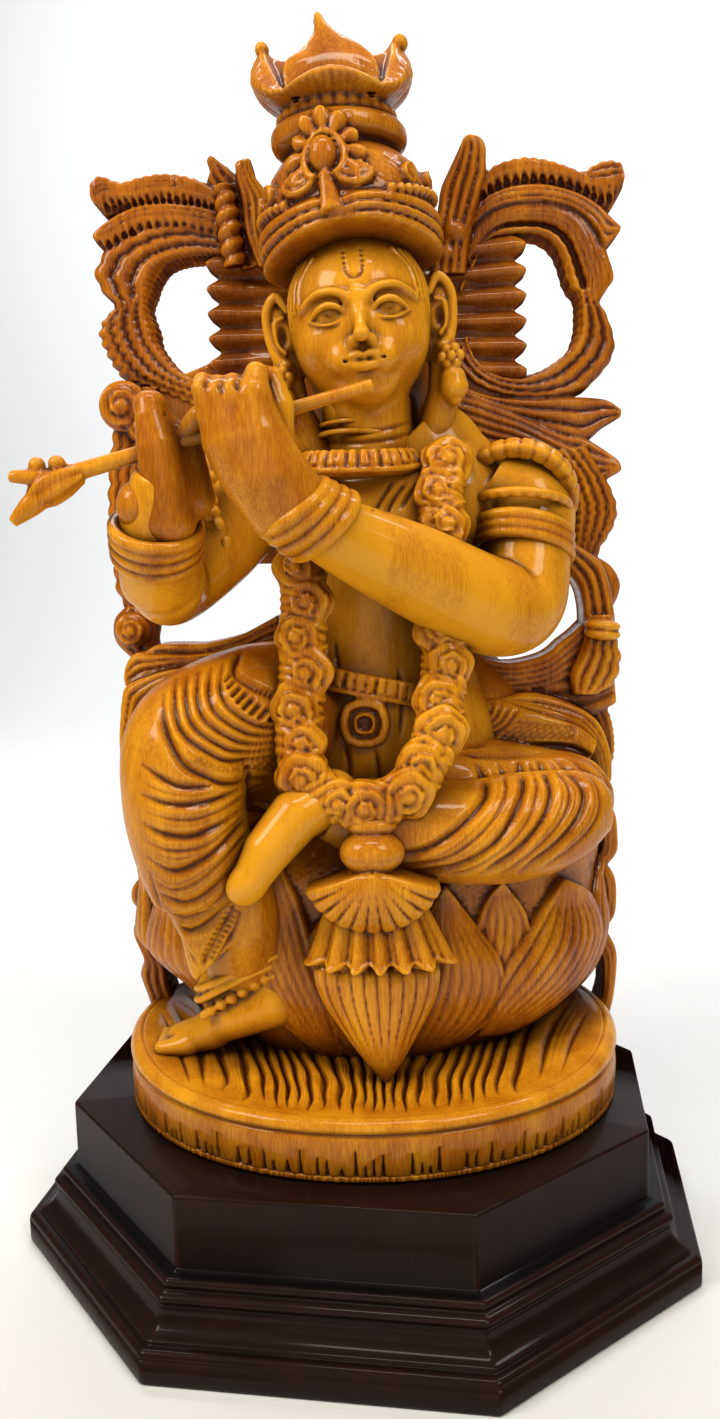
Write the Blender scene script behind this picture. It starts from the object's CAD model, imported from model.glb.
# %% [markdown]
# A carved temple figure in Blender
# A wood carver cuts this figure from one block of pale, close-grained whitewood: a seated flute player on a
# lotus, in front of a pierced leafy arch. The block is varnished a deep honey colour and glued to a dark
# moulded plinth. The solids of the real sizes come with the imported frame. Here each part of the block gets
# its carving again as fine mesh, in the same places, and a varnished wood finish.

# %% Load the frame
import math
import bpy
import numpy as np
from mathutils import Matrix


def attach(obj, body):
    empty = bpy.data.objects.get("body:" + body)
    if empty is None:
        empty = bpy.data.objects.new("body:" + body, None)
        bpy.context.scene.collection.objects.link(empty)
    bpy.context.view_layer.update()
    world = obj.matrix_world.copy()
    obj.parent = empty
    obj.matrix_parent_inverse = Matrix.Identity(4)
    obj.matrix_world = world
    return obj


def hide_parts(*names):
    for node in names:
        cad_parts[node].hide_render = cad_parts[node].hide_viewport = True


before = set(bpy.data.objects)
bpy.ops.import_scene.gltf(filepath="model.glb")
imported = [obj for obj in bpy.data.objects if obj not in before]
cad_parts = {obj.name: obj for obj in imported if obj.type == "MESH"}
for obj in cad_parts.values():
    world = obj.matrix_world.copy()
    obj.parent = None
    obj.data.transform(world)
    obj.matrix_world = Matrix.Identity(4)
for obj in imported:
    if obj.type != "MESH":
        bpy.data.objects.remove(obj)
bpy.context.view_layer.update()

import openvdb
from mathutils import Matrix, Vector

print("pieces in the frame:", sorted(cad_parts))

# %% [markdown]
# The carver's own frame
# The carving stands a little turned and a little off the middle of its plinth. It is easier to carve in a
# frame of its own, in millimetres: x to the viewer's right, y to the back, z up from the plinth's top face.
# One function moves points from that frame to the frame of the whole object, in metres.

# %% Sizes and the move to the whole object's frame
MM = 0.001
PLINTH_HEIGHT = 49.2
GLUE_LINE = 0.3
FIGURE_TURN = math.radians(6.9)
FIGURE_SHIFT = 4.0
FULL = 2 * math.pi
FRONT = np.array([0.0, -1.0, 0.0])
UP = np.array([0.0, 0.0, 1.0])


def in_the_row(points):
    """Carver's millimetres to metres in the whole object's frame."""
    c, s = math.cos(FIGURE_TURN), math.sin(FIGURE_TURN)
    x, y, z = points[:, 0], points[:, 1], points[:, 2]
    moved = np.stack([c * x - s * y + FIGURE_SHIFT, s * x + c * y, z + PLINTH_HEIGHT + GLUE_LINE], 1)
    return moved * MM


# %% [markdown]
# Camera and light come first
# Every choice of shape is judged through one camera, so it is set before any carving. It stands where the
# photographer stood: close, a little to the right and a little above the figure's lap. The light is plain
# and soft, as in a studio: one broad source high on the left, a weaker one on the right, and a strip from
# above that draws the long highlights on varnish.

# %% Camera
PHOTO_SIZE = (720, 1419)
FOCAL_PIXELS = 1097.6
SENSOR = 36.0
CAMERA_AT = (60.0, -376.3, 232.9)
CAMERA_TURN, CAMERA_DIP, CAMERA_ROLL = 0.152, 0.128, -0.026

camera_data = bpy.data.cameras.new("camera")
camera_data.sensor_fit = "AUTO"
camera_data.sensor_width = SENSOR
camera_data.lens = SENSOR * FOCAL_PIXELS / max(PHOTO_SIZE)
camera_data.clip_start = 0.01
camera = bpy.data.objects.new("camera", camera_data)
bpy.context.scene.collection.objects.link(camera)
camera.matrix_world = (
    Matrix.Translation(Vector(CAMERA_AT) * MM)
    @ Matrix.Rotation(CAMERA_TURN, 4, "Z")
    @ Matrix.Rotation(math.pi / 2 - CAMERA_DIP, 4, "X")
    @ Matrix.Rotation(CAMERA_ROLL, 4, "Z")
)
bpy.context.scene.camera = camera
print("lens in mm:", round(camera_data.lens, 2))


# %% Lights, world and floor
def area_light(name, place, aim, size, watts, colour=(1, 1, 1)):
    """A square soft light at place, pointing at aim. Places are in metres."""
    data = bpy.data.lights.new(name, "AREA")
    data.shape = "RECTANGLE"
    data.size, data.size_y = size
    data.energy = watts
    data.color = colour
    lamp = bpy.data.objects.new(name, data)
    bpy.context.scene.collection.objects.link(lamp)
    lamp.location = place
    lamp.rotation_euler = (Vector(aim) - Vector(place)).to_track_quat("-Z", "Y").to_euler()
    return lamp


FIGURE_MIDDLE = (0.0, 0.0, 0.22)
LAMP_WARM = (1.0, 0.92, 0.79)
area_light("left_key", (-0.62, -0.5, 0.85), FIGURE_MIDDLE, (0.4, 0.4), 5.9, LAMP_WARM)
area_light("right_key", (0.6, -0.55, 0.9), FIGURE_MIDDLE, (0.35, 0.35), 3.9, LAMP_WARM)
area_light("top_strip", (0.05, -0.3, 1.05), FIGURE_MIDDLE, (0.5, 0.12), 3.0, LAMP_WARM)
area_light("front_fill", (0.1, -1.3, 0.45), FIGURE_MIDDLE, (0.8, 0.8), 1.6, LAMP_WARM)
area_light("backdrop_wash", (0.0, 0.55, 1.5), (0.0, 1.5, 0.5), (1.6, 0.4), 26)
world = bpy.data.worlds.new("studio")
world.use_nodes = True
world.node_tree.nodes["Background"].inputs["Color"].default_value = (1.0, 0.93, 0.84, 1.0)
world.node_tree.nodes["Background"].inputs["Strength"].default_value = 0.05
bpy.context.scene.world = world
bpy.context.scene.view_settings.view_transform = "Standard"

# %% [markdown]
# How a carved form is made here
# A carver roughs out big forms, then cuts bands, folds, petals and beads into them. In Blender that could be
# sculpted by hand, or built as a stack of displace modifiers. This script uses lofts: rings of points along
# a smooth path, with the carving written as a height over the form, in real millimetres. Overlapping lofts
# are then fused to one skin through a distance field, because the real carving is one body of wood.

# %% Smooth paths and lofts
CUTTING_STEP = 0.62  # distance between rings in millimetres: the finest cut that shows at arm's length


def smooth_rows(keys, count):
    """Rows of numbers on a smooth curve that passes through every key row."""
    keys = np.asarray(keys, float)
    t = np.linspace(0, len(keys) - 1, count)
    k = np.minimum(t.astype(int), len(keys) - 2)
    f = (t - k)[:, None]
    a, b, c, d = (keys[np.clip(k + step, 0, len(keys) - 1)] for step in (-1, 0, 1, 2))
    return b + 0.5 * f * (c - a + f * (2 * a - 5 * b + 4 * c - d + f * (3 * (b - c) + d - a)))


def unit(vectors):
    return vectors / np.maximum(np.linalg.norm(vectors, axis=-1, keepdims=True), 1e-9)


def loft(rings, joined=False):
    """A closed solid from rings of points, or a closed hoop when the last ring meets the first."""
    rings = np.asarray(rings, float)
    m, n = rings.shape[:2]
    points = np.vstack([rings.reshape(-1, 3), rings[0].mean(0), rings[-1].mean(0)])
    i, j = np.meshgrid(np.arange(m if joined else m - 1), np.arange(n), indexing="ij")
    near, far = i * n, (i + 1) % m * n
    k = (j + 1) % n
    quads = np.stack([near + j, near + k, far + k, far + j], -1).reshape(-1, 4)
    if joined:
        return points[:-2], np.zeros((0, 3), int), quads
    j, k = np.arange(n), (np.arange(n) + 1) % n
    first = np.stack([np.full(n, m * n), k, j], 1)
    last = np.stack([np.full(n, m * n + 1), (m - 1) * n + j, (m - 1) * n + k], 1)
    return points, np.vstack([first, last]), quads


def run_length(path):
    """Millimetres from the start of a path to each of its points."""
    return np.concatenate([[0], np.cumsum(np.linalg.norm(np.diff(path, axis=0), axis=1))])


def sweep(keys, section, face=FRONT):
    """A loft along a path of x, y, z, half width, half thickness. The thickness points to face."""
    count = max(6, int(run_length(smooth_rows(keys, 60)[:, :3])[-1] / CUTTING_STEP))
    rows = smooth_rows(keys, count)
    path = rows[:, :3]
    tangent = unit(np.gradient(path, axis=0))
    across = unit(np.cross(tangent, np.asarray(face, float)))
    out = np.cross(across, tangent)
    u, v = section(run_length(path)[:, None], rows[:, 3:4], rows[:, 4:5])
    return loft(path[:, None] + u[..., None] * across[:, None] + v[..., None] * out[:, None])


def round_section(swell=None, around=36):
    """An oval section. swell(mm, angle) is how far the carving stands out of it."""
    angle = np.linspace(0, FULL, around, endpoint=False)[None]

    def section(mm, wide, thick):
        grow = swell(mm, angle) if swell else 0 * mm
        return (wide + grow) * np.cos(angle), (thick + grow) * np.sin(angle)

    return section


def band_section(front, across=29):
    """A flat-backed band. front(mm, v) is its relief, with v from -1 (outer edge) to 1 (inner edge)."""
    v = np.linspace(-1, 1, across)[None]

    def section(mm, wide, thick):
        u = wide * v + 0 * mm
        top = thick + front(mm, v)
        back = -thick + 0 * top[:, :1]
        return np.hstack([u, u[:, -1:], u[:, :1]]), np.hstack([top, back, back])

    return section


# %% Relief written as simple waves
def teeth(mm, pitch):
    """A saw of even triangles from 0 to 1."""
    return 1 - np.abs(2 * np.mod(mm / pitch, 1) - 1)


def scallops(mm, pitch):
    """A row of round lobes from 0 to 1."""
    return np.abs(np.sin(math.pi * mm / pitch))


def reeds(v, count):
    """Count of round reeds side by side, from -1 to 1 across, with sharp cuts between them."""
    return np.sqrt(np.abs(np.sin(math.pi * count * (v + 1) / 2)))


def soft_step(x, low, high):
    t = np.clip((x - low) / (high - low), 0, 1)
    return t * t * (3 - 2 * t)


# %% Small solids
def egg(middle, radii, turn=(0, 0, 0), dents=None):
    """A ball or egg. dents(up, angle) is a share of the radius that is added."""
    size = max(radii)
    rings = max(7, int(size * 2.4 / CUTTING_STEP))
    up = np.cos(np.linspace(math.pi * 0.97, math.pi * 0.03, rings))[:, None]
    angle = np.linspace(0, FULL, 2 * rings, endpoint=False)[None]
    flat = np.sqrt(1 - up * up) * (1 + (dents(up, angle) if dents else 0 * angle))
    points = np.stack([flat * np.sin(angle), -flat * np.cos(angle), up + 0 * flat], -1) * radii
    from_turn = np.array(Matrix.Rotation(turn[2], 3, "Z") @ Matrix.Rotation(turn[1], 3, "Y")
                         @ Matrix.Rotation(turn[0], 3, "X"))
    return loft(points @ from_turn.T + middle)


def disc(middle, out, radius, relief, depth=3.0, outline=None, spin=0.0):
    """A round boss on a surface. relief(r, angle) is its height over the rim, r from 0 to 1."""
    out = unit(np.asarray(out, float))
    side = unit(np.cross(out, UP))
    rise = np.cross(side, out)
    around = max(20, int(FULL * radius / CUTTING_STEP))
    angle = np.linspace(0, FULL, around, endpoint=False)[None]
    r = np.concatenate([[0.9, 1.0], np.linspace(0.97, 0.04, max(7, int(radius / 0.5)))])[:, None]
    reach = radius * r * (outline(angle + spin) if outline else 1 + 0 * angle)
    height = relief(np.minimum(r, 1), angle + spin) + 0 * angle
    height[0], height[1] = -depth, 0
    points = (middle + (reach * np.cos(angle))[..., None] * side + (reach * np.sin(angle))[..., None] * rise
              + height[..., None] * out)
    return loft(points)


def hoop(middle, axis, radius, thick, swell=None, around=18):
    """A ring round an axis, with a round section. swell(mm, angle) is the carving on it."""
    axis = unit(np.asarray(axis, float))
    side = unit(np.cross(axis, UP + 0.01))
    rise = np.cross(axis, side)
    steps = int(FULL * radius / CUTTING_STEP)
    turn = np.linspace(0, FULL, steps, endpoint=False)[:, None]
    angle = np.linspace(0, FULL, around, endpoint=False)[None]
    grow = swell(turn * radius, angle) if swell else 0
    reach = radius + (thick + grow) * np.cos(angle)
    lift = (thick + grow) * np.sin(angle)
    points = (middle + (reach * np.cos(turn))[..., None] * side + (reach * np.sin(turn))[..., None] * rise
              + lift[..., None] * axis)
    return loft(points, joined=True)


# %% [markdown]
# Fusing and finishing a region
# The distance field turns a pile of overlapping solids into one closed skin of even small faces. Even faces
# are what the last cuts need: each point can still be pushed in or out by a hair. A decimate modifier then
# thins the skin where it is smooth, so that no region is heavier than it has to be.

# %% Fuse, cut and place
FINE_VOXEL, FINEST_VOXEL = 0.6, 0.5
VOXEL = FINE_VOXEL
triangles_so_far = 0


def fuse(solids, voxel=VOXEL, soften=0):
    """One closed skin round all the solids: points in millimetres, and quads."""
    starts = np.cumsum([0] + [len(points) for points, _, _ in solids[:-1]])
    points = np.vstack([points for points, _, _ in solids]).astype(np.float32)
    triangles = np.vstack([tri + start for (_, tri, _), start in zip(solids, starts)]).astype(np.uint32)
    quads = np.vstack([quad + start for (_, _, quad), start in zip(solids, starts)]).astype(np.uint32)
    step = openvdb.createLinearTransform(voxelSize=voxel)
    field = openvdb.FloatGrid.createLevelSetFromPolygons(
        points, triangles=triangles, quads=quads, transform=step, halfWidth=3.0
    )
    if soften:
        field = softened(field, soften, step)
    points, quads = field.convertToQuads(0.0)
    return points.astype(float), quads.astype(np.int64)


def softened(field, times, step):
    """The same skin with its creases eased, as sandpaper eases bare skin parts."""
    low, high = (np.array(corner) for corner in field.evalActiveVoxelBoundingBox())
    low, high = low - 2, high + 3
    values = np.empty(high - low, np.float32)
    field.copyToArray(values, ijk=tuple(int(c) for c in low))
    for _ in range(times):
        for axis in range(3):
            values = (np.roll(values, 1, axis) + 2 * values + np.roll(values, -1, axis)) / 4
    eased = openvdb.FloatGrid(field.background)
    eased.copyFromArray(values, ijk=tuple(int(c) for c in low))
    eased.transform = step
    return eased


def point_normals(points, quads):
    """The direction out of the skin at each point."""
    across = np.cross(points[quads[:, 2]] - points[quads[:, 0]], points[quads[:, 3]] - points[quads[:, 1]])
    normals = np.zeros_like(points)
    for corner in range(4):
        for axis in range(3):
            normals[:, axis] += np.bincount(quads[:, corner], across[:, axis], len(points))
    return unit(normals)


def outward(points, quads):
    """The quads turned so that they face out of the body."""
    a, b, c, d = (points[quads[:, corner]] for corner in range(4))
    volume = (np.cross(b - a, c - a) * a).sum() + (np.cross(c - a, d - a) * a).sum()
    return quads if volume > 0 else quads[:, ::-1]


CAVITY_ROUNDS = 10  # rounds of smoothing, which reach about two millimetres


def cavity(points, quads):
    """How deep each point lies below the eased skin in millimetres: over 0 in a cut, under 0 on a crest."""
    ahead = np.roll(quads, -1, 1)
    here = np.concatenate([quads, ahead]).T.ravel()
    beside = np.concatenate([ahead, quads]).T.ravel()
    count = np.maximum(np.bincount(here, minlength=len(points)), 1)
    eased = points
    for _ in range(CAVITY_ROUNDS):
        eased = np.stack(
            [np.bincount(here, eased[beside, axis], len(points)) / count for axis in range(3)], 1)
    return ((eased - points) * point_normals(points, quads)).sum(1)


# Each part is wiped more or less clean of stain before it is varnished. Bare skin is wiped the most.
STAIN_IN_PARTS = {
    "torso_and_arms": -0.14, "head": -0.1, "feet": -0.16, "garland": -0.03, "seat_tassel": -0.02,
    "crown": 0.08, "hands": 0.05, "lotus_seat": 0.06, "oval_base": -0.05}
# The skin of each part is thinned to about this many triangles, which keeps its cuts crisp.
MOST_TRIANGLES = {"oval_base": 120000, "lotus_seat": 110000, "seat_tassel": 44000, "legs_and_cloth": 120000,
                  "feet": 22000, "torso_and_arms": 70000, "hands": 27000, "bracelets_and_armlets": 52000,
                  "garland": 60000, "head": 72000, "crown": 56000, "arch_left": 56000, "arch_right": 63000,
                  "backing": 40000, "flute_rod": 8000, "dark_plinth": 10000}
SOFTER_CUTS = {"oval_base": 0.6, "legs_and_cloth": 0.75, "backing": 0.6}  # open cuts hold less stain


def stain_left(name, points, quads):
    """The share of stain that is left. It is wiped off the front, but not behind or on the base's side."""
    behind = 0.17 * soft_step(points[:, 1], -8, 34)
    low = 0.08 * (1 - soft_step(points[:, 2], 12, 20))
    edge = 0.12 * soft_step(point_normals(points, quads)[:, 1], -0.5, -0.15) * soft_step(points[:, 1], 8, 18)
    return STAIN_IN_PARTS.get(name, 0) + behind + low + edge


def cut_marks(name, points, quads):
    """How deep each point lies in a cut as the stain shows it, less in open cuts and on the back."""
    behind = soft_step(point_normals(points, quads)[:, 1], 0.2, 0.7)
    return cavity(points, quads) * SOFTER_CUTS.get(name, 1.0) * (1 - 0.6 * behind)


def place_carving(name, points, faces, material, slot, node):
    """A finished region as a Blender object that rides on the frame and stands for a node of it."""
    global triangles_so_far
    mesh = bpy.data.meshes.new(name)
    quads = np.array([face for face in faces if len(face) == 4])
    mesh.from_pydata(in_the_row(points), [], faces)
    mesh.shade_smooth()
    mesh.attributes.new("cavity", "FLOAT", "POINT").data.foreach_set("value", cut_marks(name, points, quads))
    mesh.attributes.new("stain", "FLOAT", "POINT").data.foreach_set("value", stain_left(name, points, quads))
    piece = bpy.data.objects.new(name, mesh)
    bpy.context.scene.collection.objects.link(piece)
    keep = MOST_TRIANGLES[name] / (2 * len(faces))
    if keep < 1:
        thin = piece.modifiers.new("thin", "DECIMATE")
        thin.ratio = keep
        done = piece.evaluated_get(bpy.context.evaluated_depsgraph_get())
        piece.data = bpy.data.meshes.new_from_object(done)
        piece.modifiers.clear()
    piece.data.materials.clear()
    piece.data.materials.append(material)
    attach(piece, "root")
    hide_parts(node)
    piece.data.calc_loop_triangles()
    count = len(piece.data.loop_triangles)
    triangles_so_far += count
    print(name, "has", count, "triangles")


# %% [markdown]
# The material of the carving: whitewood under honey varnish
# The real finish is pale whitewood, sanded, stained amber and varnished by brush. The eye gets four things
# from it: a deep honey colour, fine brown flecks of grain that run up the block, a darker brown where
# stain and varnish pool in the cuts, and small bright highlights on the clear coat. Varnish has an IOR of
# about 1.5. The wood under it is dull, and the coat over it is nearly smooth.

# %% Colour and node helpers
def linear(hex_colour):
    """An sRGB hex colour as the linear values that shaders use."""
    shares = [int(hex_colour[k:k + 2], 16) / 255 for k in (1, 3, 5)]
    return tuple(s / 12.92 if s <= 0.04045 else ((s + 0.055) / 1.055) ** 2.4 for s in shares) + (1.0,)


def add_node(tree, kind, links=None, **settings):
    """A node with its settings and links. Keys of settings are attributes, or socket names and numbers."""
    node = tree.nodes.new(kind)
    for key, value in settings.pop("sockets", {}).items():
        node.inputs[key].default_value = value
    for key, value in settings.items():
        setattr(node, key, value)
    for key, source in (links or {}).items():
        tree.links.new(source, node.inputs[key])
    return node


def new_material(name):
    """An empty material with a principled shader: the material, its node tree and the shader."""
    material = bpy.data.materials.new(name)
    material.use_nodes = True
    tree = material.node_tree
    shader = next(node for node in tree.nodes if node.type == "BSDF_PRINCIPLED")
    return material, tree, shader


def set_ramp(node, stops):
    """Stops of a colour ramp: share and hex colour."""
    ramp = node.color_ramp
    while len(ramp.elements) < len(stops):
        ramp.elements.new(0.5)
    for element, (share, colour) in zip(ramp.elements, stops):
        element.position = share
        element.color = linear(colour)


# %% Varnished whitewood
GRAIN_WIDTH = 0.5  # millimetres between grain flecks; the real ones are finer, but would not show
FLECK_LENGTH = 8.0
STREAK_WIDTH, STREAK_LENGTH = 14.0, 75.0  # broad darker streaks that run up the block with the grain
POOL_REACH = 18.0  # how far from a wall the varnish darkens
CUT_DEPTH = 0.32  # a cut this deep is filled with dark varnish
CREST_HEIGHT = 0.5  # a crest this high is rubbed light
TONES = (0.08, 0.26, 0.45, 0.68)  # where the four colours stand between dark and light wood
VARNISHED, BARE = 0.17, 0.24  # wood stained up to the first share is varnished, from the second on bare
WOOD_ROUGHNESS, COAT_ROUGHNESS = 0.55, 0.1
WOOD_GLOSS = 0.12
VARNISH_IOR = 1.5


def varnished_wood(name, light, middle, dark, pool, coat):
    """Sanded wood under amber varnish. The four colours go from high spots to the deepest cuts."""
    material, tree, shader = new_material(name)
    spots = add_node(tree, "ShaderNodeTexCoord").outputs["Object"]
    grain_scale = (1 / (GRAIN_WIDTH * MM), 1 / (GRAIN_WIDTH * MM), 1 / (FLECK_LENGTH * MM))
    stretched = add_node(tree, "ShaderNodeMapping", {"Vector": spots}, sockets={"Scale": grain_scale})
    fleck = add_node(tree, "ShaderNodeTexNoise", {"Vector": stretched.outputs[0]},
                     sockets={"Scale": 1.0, "Detail": 2.0, "Roughness": 0.5})
    streak_scale = (1 / (STREAK_WIDTH * MM), 1 / (STREAK_WIDTH * MM), 1 / (STREAK_LENGTH * MM))
    drawn_out = add_node(tree, "ShaderNodeMapping", {"Vector": spots}, sockets={"Scale": streak_scale})
    streak = add_node(tree, "ShaderNodeTexNoise", {"Vector": drawn_out.outputs[0]},
                      sockets={"Scale": 1.0, "Detail": 4.0, "Roughness": 0.6})
    fleck_part = add_node(tree, "ShaderNodeMath", {0: fleck.outputs["Fac"]}, operation="MULTIPLY",
                          sockets={1: 0.32})
    tone = add_node(tree, "ShaderNodeMath", {0: streak.outputs["Fac"], 2: fleck_part.outputs[0]},
                    operation="MULTIPLY_ADD", sockets={1: 0.55})
    carved = add_node(tree, "ShaderNodeAttribute", attribute_name="cavity").outputs["Fac"]
    crest = add_node(
        tree, "ShaderNodeMapRange", {"Value": carved},
        sockets={"From Min": CREST_HEIGHT, "From Max": -CREST_HEIGHT, "To Min": -0.1, "To Max": 0.23})
    rubbed = add_node(tree, "ShaderNodeMath", {0: tone.outputs[0], 1: crest.outputs[0]}, operation="ADD")
    stain = add_node(tree, "ShaderNodeAttribute", attribute_name="stain").outputs["Fac"]
    stained = add_node(tree, "ShaderNodeMath", {0: rubbed.outputs[0], 1: stain}, operation="SUBTRACT")
    colour = add_node(tree, "ShaderNodeValToRGB", {"Fac": stained.outputs[0]})
    set_ramp(colour, list(zip(TONES, (pool, dark, middle, light))))
    near_wall = add_node(
        tree, "ShaderNodeAmbientOcclusion", samples=6, sockets={"Distance": POOL_REACH * MM})
    in_shade = add_node(tree, "ShaderNodeMapRange", {"Value": near_wall.outputs["AO"]},
                        sockets={"From Min": 0.93, "From Max": 0.25, "To Max": 0.9})
    in_cut = add_node(tree, "ShaderNodeMapRange", {"Value": carved},
                      sockets={"From Min": 0.02, "From Max": CUT_DEPTH, "To Max": 0.9})
    filled = add_node(
        tree, "ShaderNodeMath", {0: in_shade.outputs[0], 1: in_cut.outputs[0]}, operation="MAXIMUM")
    pooled = add_node(tree, "ShaderNodeMix", {"Factor": filled.outputs[0], "A": colour.outputs[0]},
                      data_type="RGBA")
    pooled.inputs["B"].default_value = linear(pool)
    tree.links.new(pooled.outputs["Result"], shader.inputs["Base Color"])
    bump = add_node(tree, "ShaderNodeBump", {"Height": fleck.outputs["Fac"]},
                    sockets={"Strength": 0.12, "Distance": 0.12 * MM})
    tree.links.new(bump.outputs[0], shader.inputs["Normal"])
    shader.inputs["Roughness"].default_value = WOOD_ROUGHNESS
    shader.inputs["IOR"].default_value = VARNISH_IOR
    brushed_on = add_node(
        tree, "ShaderNodeMapRange", {"Value": stain},
        sockets={"From Min": VARNISHED, "From Max": BARE, "To Min": coat, "To Max": 0.05 * coat})
    tree.links.new(brushed_on.outputs[0], shader.inputs["Coat Weight"])
    sheen = add_node(tree, "ShaderNodeMapRange", {"Value": stain},
                     sockets={"From Min": VARNISHED, "From Max": BARE, "To Min": WOOD_GLOSS, "To Max": 0.0})
    tree.links.new(sheen.outputs[0], shader.inputs["Specular IOR Level"])
    shader.inputs["Coat Roughness"].default_value = COAT_ROUGHNESS
    shader.inputs["Coat IOR"].default_value = VARNISH_IOR
    return material


honey_wood = varnished_wood("varnished_whitewood", "#f0a61a", "#bd6d06", "#7a3802", "#3d1400", 0.4)
print("material:", honey_wood.name)

# %% [markdown]
# The oval base
# The lowest part of the block is an oval slab. Its side has a nicked lower edge, rows of gouge nicks, a sunk
# line and a rolled rim. Inside the rim the ground is cut as blades of grass that fan out from the front.
# The whole slab is one loft of level ovals, and each cut is a height on it.

# %% Oval base
BASE_HALF = (87.0, 73.0)
GROOVE_HEIGHT = 15.2
RIM_FRONT, RIM_SIDE = 19.8, 24.0  # the rim climbs from the front to the sides
NICK_COUNT = 158
FAN_POINT = (3.0, 195.0)  # the blades fan out from a point this far in front of the middle
BLADE_PITCH = 0.029  # radians between blades at the fan point
GROUND_FRONT, GROUND_BACK = 18.8, 21.0


def rim_height(turn):
    return RIM_FRONT + (RIM_SIDE - RIM_FRONT) * soft_step(np.abs(turn), 0.8, 1.6)


def blade_cuts(x, y, from_rim):
    """Depth of the dark gaps between grass blades: thin at the rim, wide and deep further in."""
    turn = np.arctan2(x - FAN_POINT[0], FAN_POINT[1] + y)
    bow = 0.9 * np.tanh(6 * turn) * np.sin(math.pi * np.clip(from_rim / 40, 0, 1))
    place = turn / BLADE_PITCH + bow + 0.3 * np.sin(31 * turn) + 0.07 * np.sin(0.4 * from_rim + 40 * turn)
    blade, part = np.floor(place), np.mod(place, 1)
    own = 0.5 + 0.5 * np.sin(blade * 2.399)
    starts = 1.0 + 5 * own
    grow = soft_step(from_rim, starts, starts + 15)
    gap = np.clip(1 - np.abs(part - 0.5) / (0.12 + 0.12 * grow), 0, 1)
    dome = 1.5 * (0.5 - np.abs(part - 0.5)) * soft_step(from_rim, 2, 12)
    scratch = np.clip(1 - np.abs(np.mod(part + 0.3 * own, 1) - 0.15) / 0.1, 0, 1)
    fine = 0.3 * scratch * soft_step(from_rim, 4, 9)
    return (0.3 + 2.0 * grow) * gap * soft_step(from_rim, starts - 2.5, starts + 4) + dome + fine


def base_rings():
    around = 1300
    turn = np.linspace(-math.pi, math.pi, around, endpoint=False)
    groove = soft_step(turn, -1.15, -0.75) * (1 - soft_step(turn, 1.05, 1.35))
    behind = np.abs(turn) > 1.5
    groove = np.maximum(groove, 0.35 * behind)
    wall = smooth_rows(
        [[0.978, 0.0], [0.99, 0.5], [0.991, 1.5], [0.985, 2.1], [0.988, 2.7], [0.992, 6.0], [0.994, 10.0],
         [0.99, 13.4], [0.986, GROOVE_HEIGHT - 0.7]], 44)
    roll = smooth_rows([[0.968, 0.0], [0.986, 0.12], [0.996, 0.42], [0.986, 0.78], [0.966, 0.98],
                        [0.952, 0.99], [0.944, 0.94]], 24)
    rings = []
    place = turn * NICK_COUNT / FULL + 0.3 * np.sin(turn * 31)
    own = 0.5 + 0.5 * np.sin(np.floor(place) * 2.399)
    off = np.abs(np.mod(place, 1) - 0.5)
    for share, z in wall:
        reach = 4.5 + 6.5 * own
        width = 0.34 * np.clip((reach - z) / reach, 0, 1) + 0.001
        cut = 1.6 * np.clip(1.2 - off / width, 0, 1) * (z > 1.9) * (own > 0.1)
        chips = 0.5 * scallops(turn * 80 + 2 * np.sin(turn * 23), 1.7) * (1 - soft_step(z, 1.4, 2.1))
        rings.append((share + 0 * turn, z + 0 * turn, cut + chips))
    for share, rise in roll:
        sunk = (share - 0.988) * groove + 0.988 if share < 0.988 and rise < 0.3 else share
        rings.append((sunk + 0 * turn, GROOVE_HEIGHT + rise * (rim_height(turn) - GROOVE_HEIGHT), 0))
    for share in np.linspace(0.942, 0.4, 84):
        x, y = BASE_HALF[0] * share * np.sin(turn), -BASE_HALF[1] * share * np.cos(turn)
        from_rim = (0.942 - share) * BASE_HALF[1]
        slope = (rim_height(turn) - RIM_FRONT) * ((share - 0.4) / 0.54)
        dip = 0.75 * np.exp(-((from_rim / 4.0) ** 2))
        ground = GROUND_FRONT + (GROUND_BACK - GROUND_FRONT) * min(from_rim / 30, 1) + slope + dip
        rings.append(
            (share + 0 * turn, ground - blade_cuts(x, y, from_rim) * soft_step(from_rim, 0, 2.5), 0))
    return [np.stack([(BASE_HALF[0] * share - inward) * np.sin(turn),
                      (inward - BASE_HALF[1] * share) * np.cos(turn), z], 1) for share, z, inward in rings]


base_points, base_ends, base_quads = loft(base_rings())
base_faces = [*base_ends.tolist(), *base_quads.tolist()]
CARVED = (honey_wood, "honey_wood", "carved_figure")
place_carving("oval_base", base_points, base_faces, *CARVED)


def place_fused(name, solids, voxel=VOXEL, soften=0, finish=None, kind=CARVED):
    """Fuse a region's solids, let its finish move the skin's points, and place it."""
    points, quads = fuse(solids, voxel, soften)
    quads = outward(points, quads)
    if finish:
        points = finish(points, quads)
    place_carving(name, points, quads.tolist(), *kind)


# %% [markdown]
# The lotus seat
# The seat is a fat lotus bud: an oval bowl with long pointed petals laid on it. Each petal swells in the
# middle, has a crest to its tip, and fine veins that run together at both ends. A petal is a small loft on
# the bowl's own surface, so its foot and edges sink in and only the tip stands free. Over the bowl's upper
# edge hangs a pad cut with a diamond net.

# %% Lotus bowl
SEAT_MIDDLE_Y = 18.0
BOWL_ROWS = [[16, 58, 43], [26, 70, 48], [38, 78.5, 50.5], [52, 82.5, 51], [64, 82, 49.5], [74, 82, 49.5],
             [84, 83, 49.5], [96, 74, 42]]
NET_SPACING = 3.4


def drawn_in(angle, z):
    """The bowl is drawn in low on its left side, where the block is pierced beside the foot."""
    return 11 * soft_step(-np.sin(angle), 0.45, 0.85) * (1 - soft_step(z, 35, 52))


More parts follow.
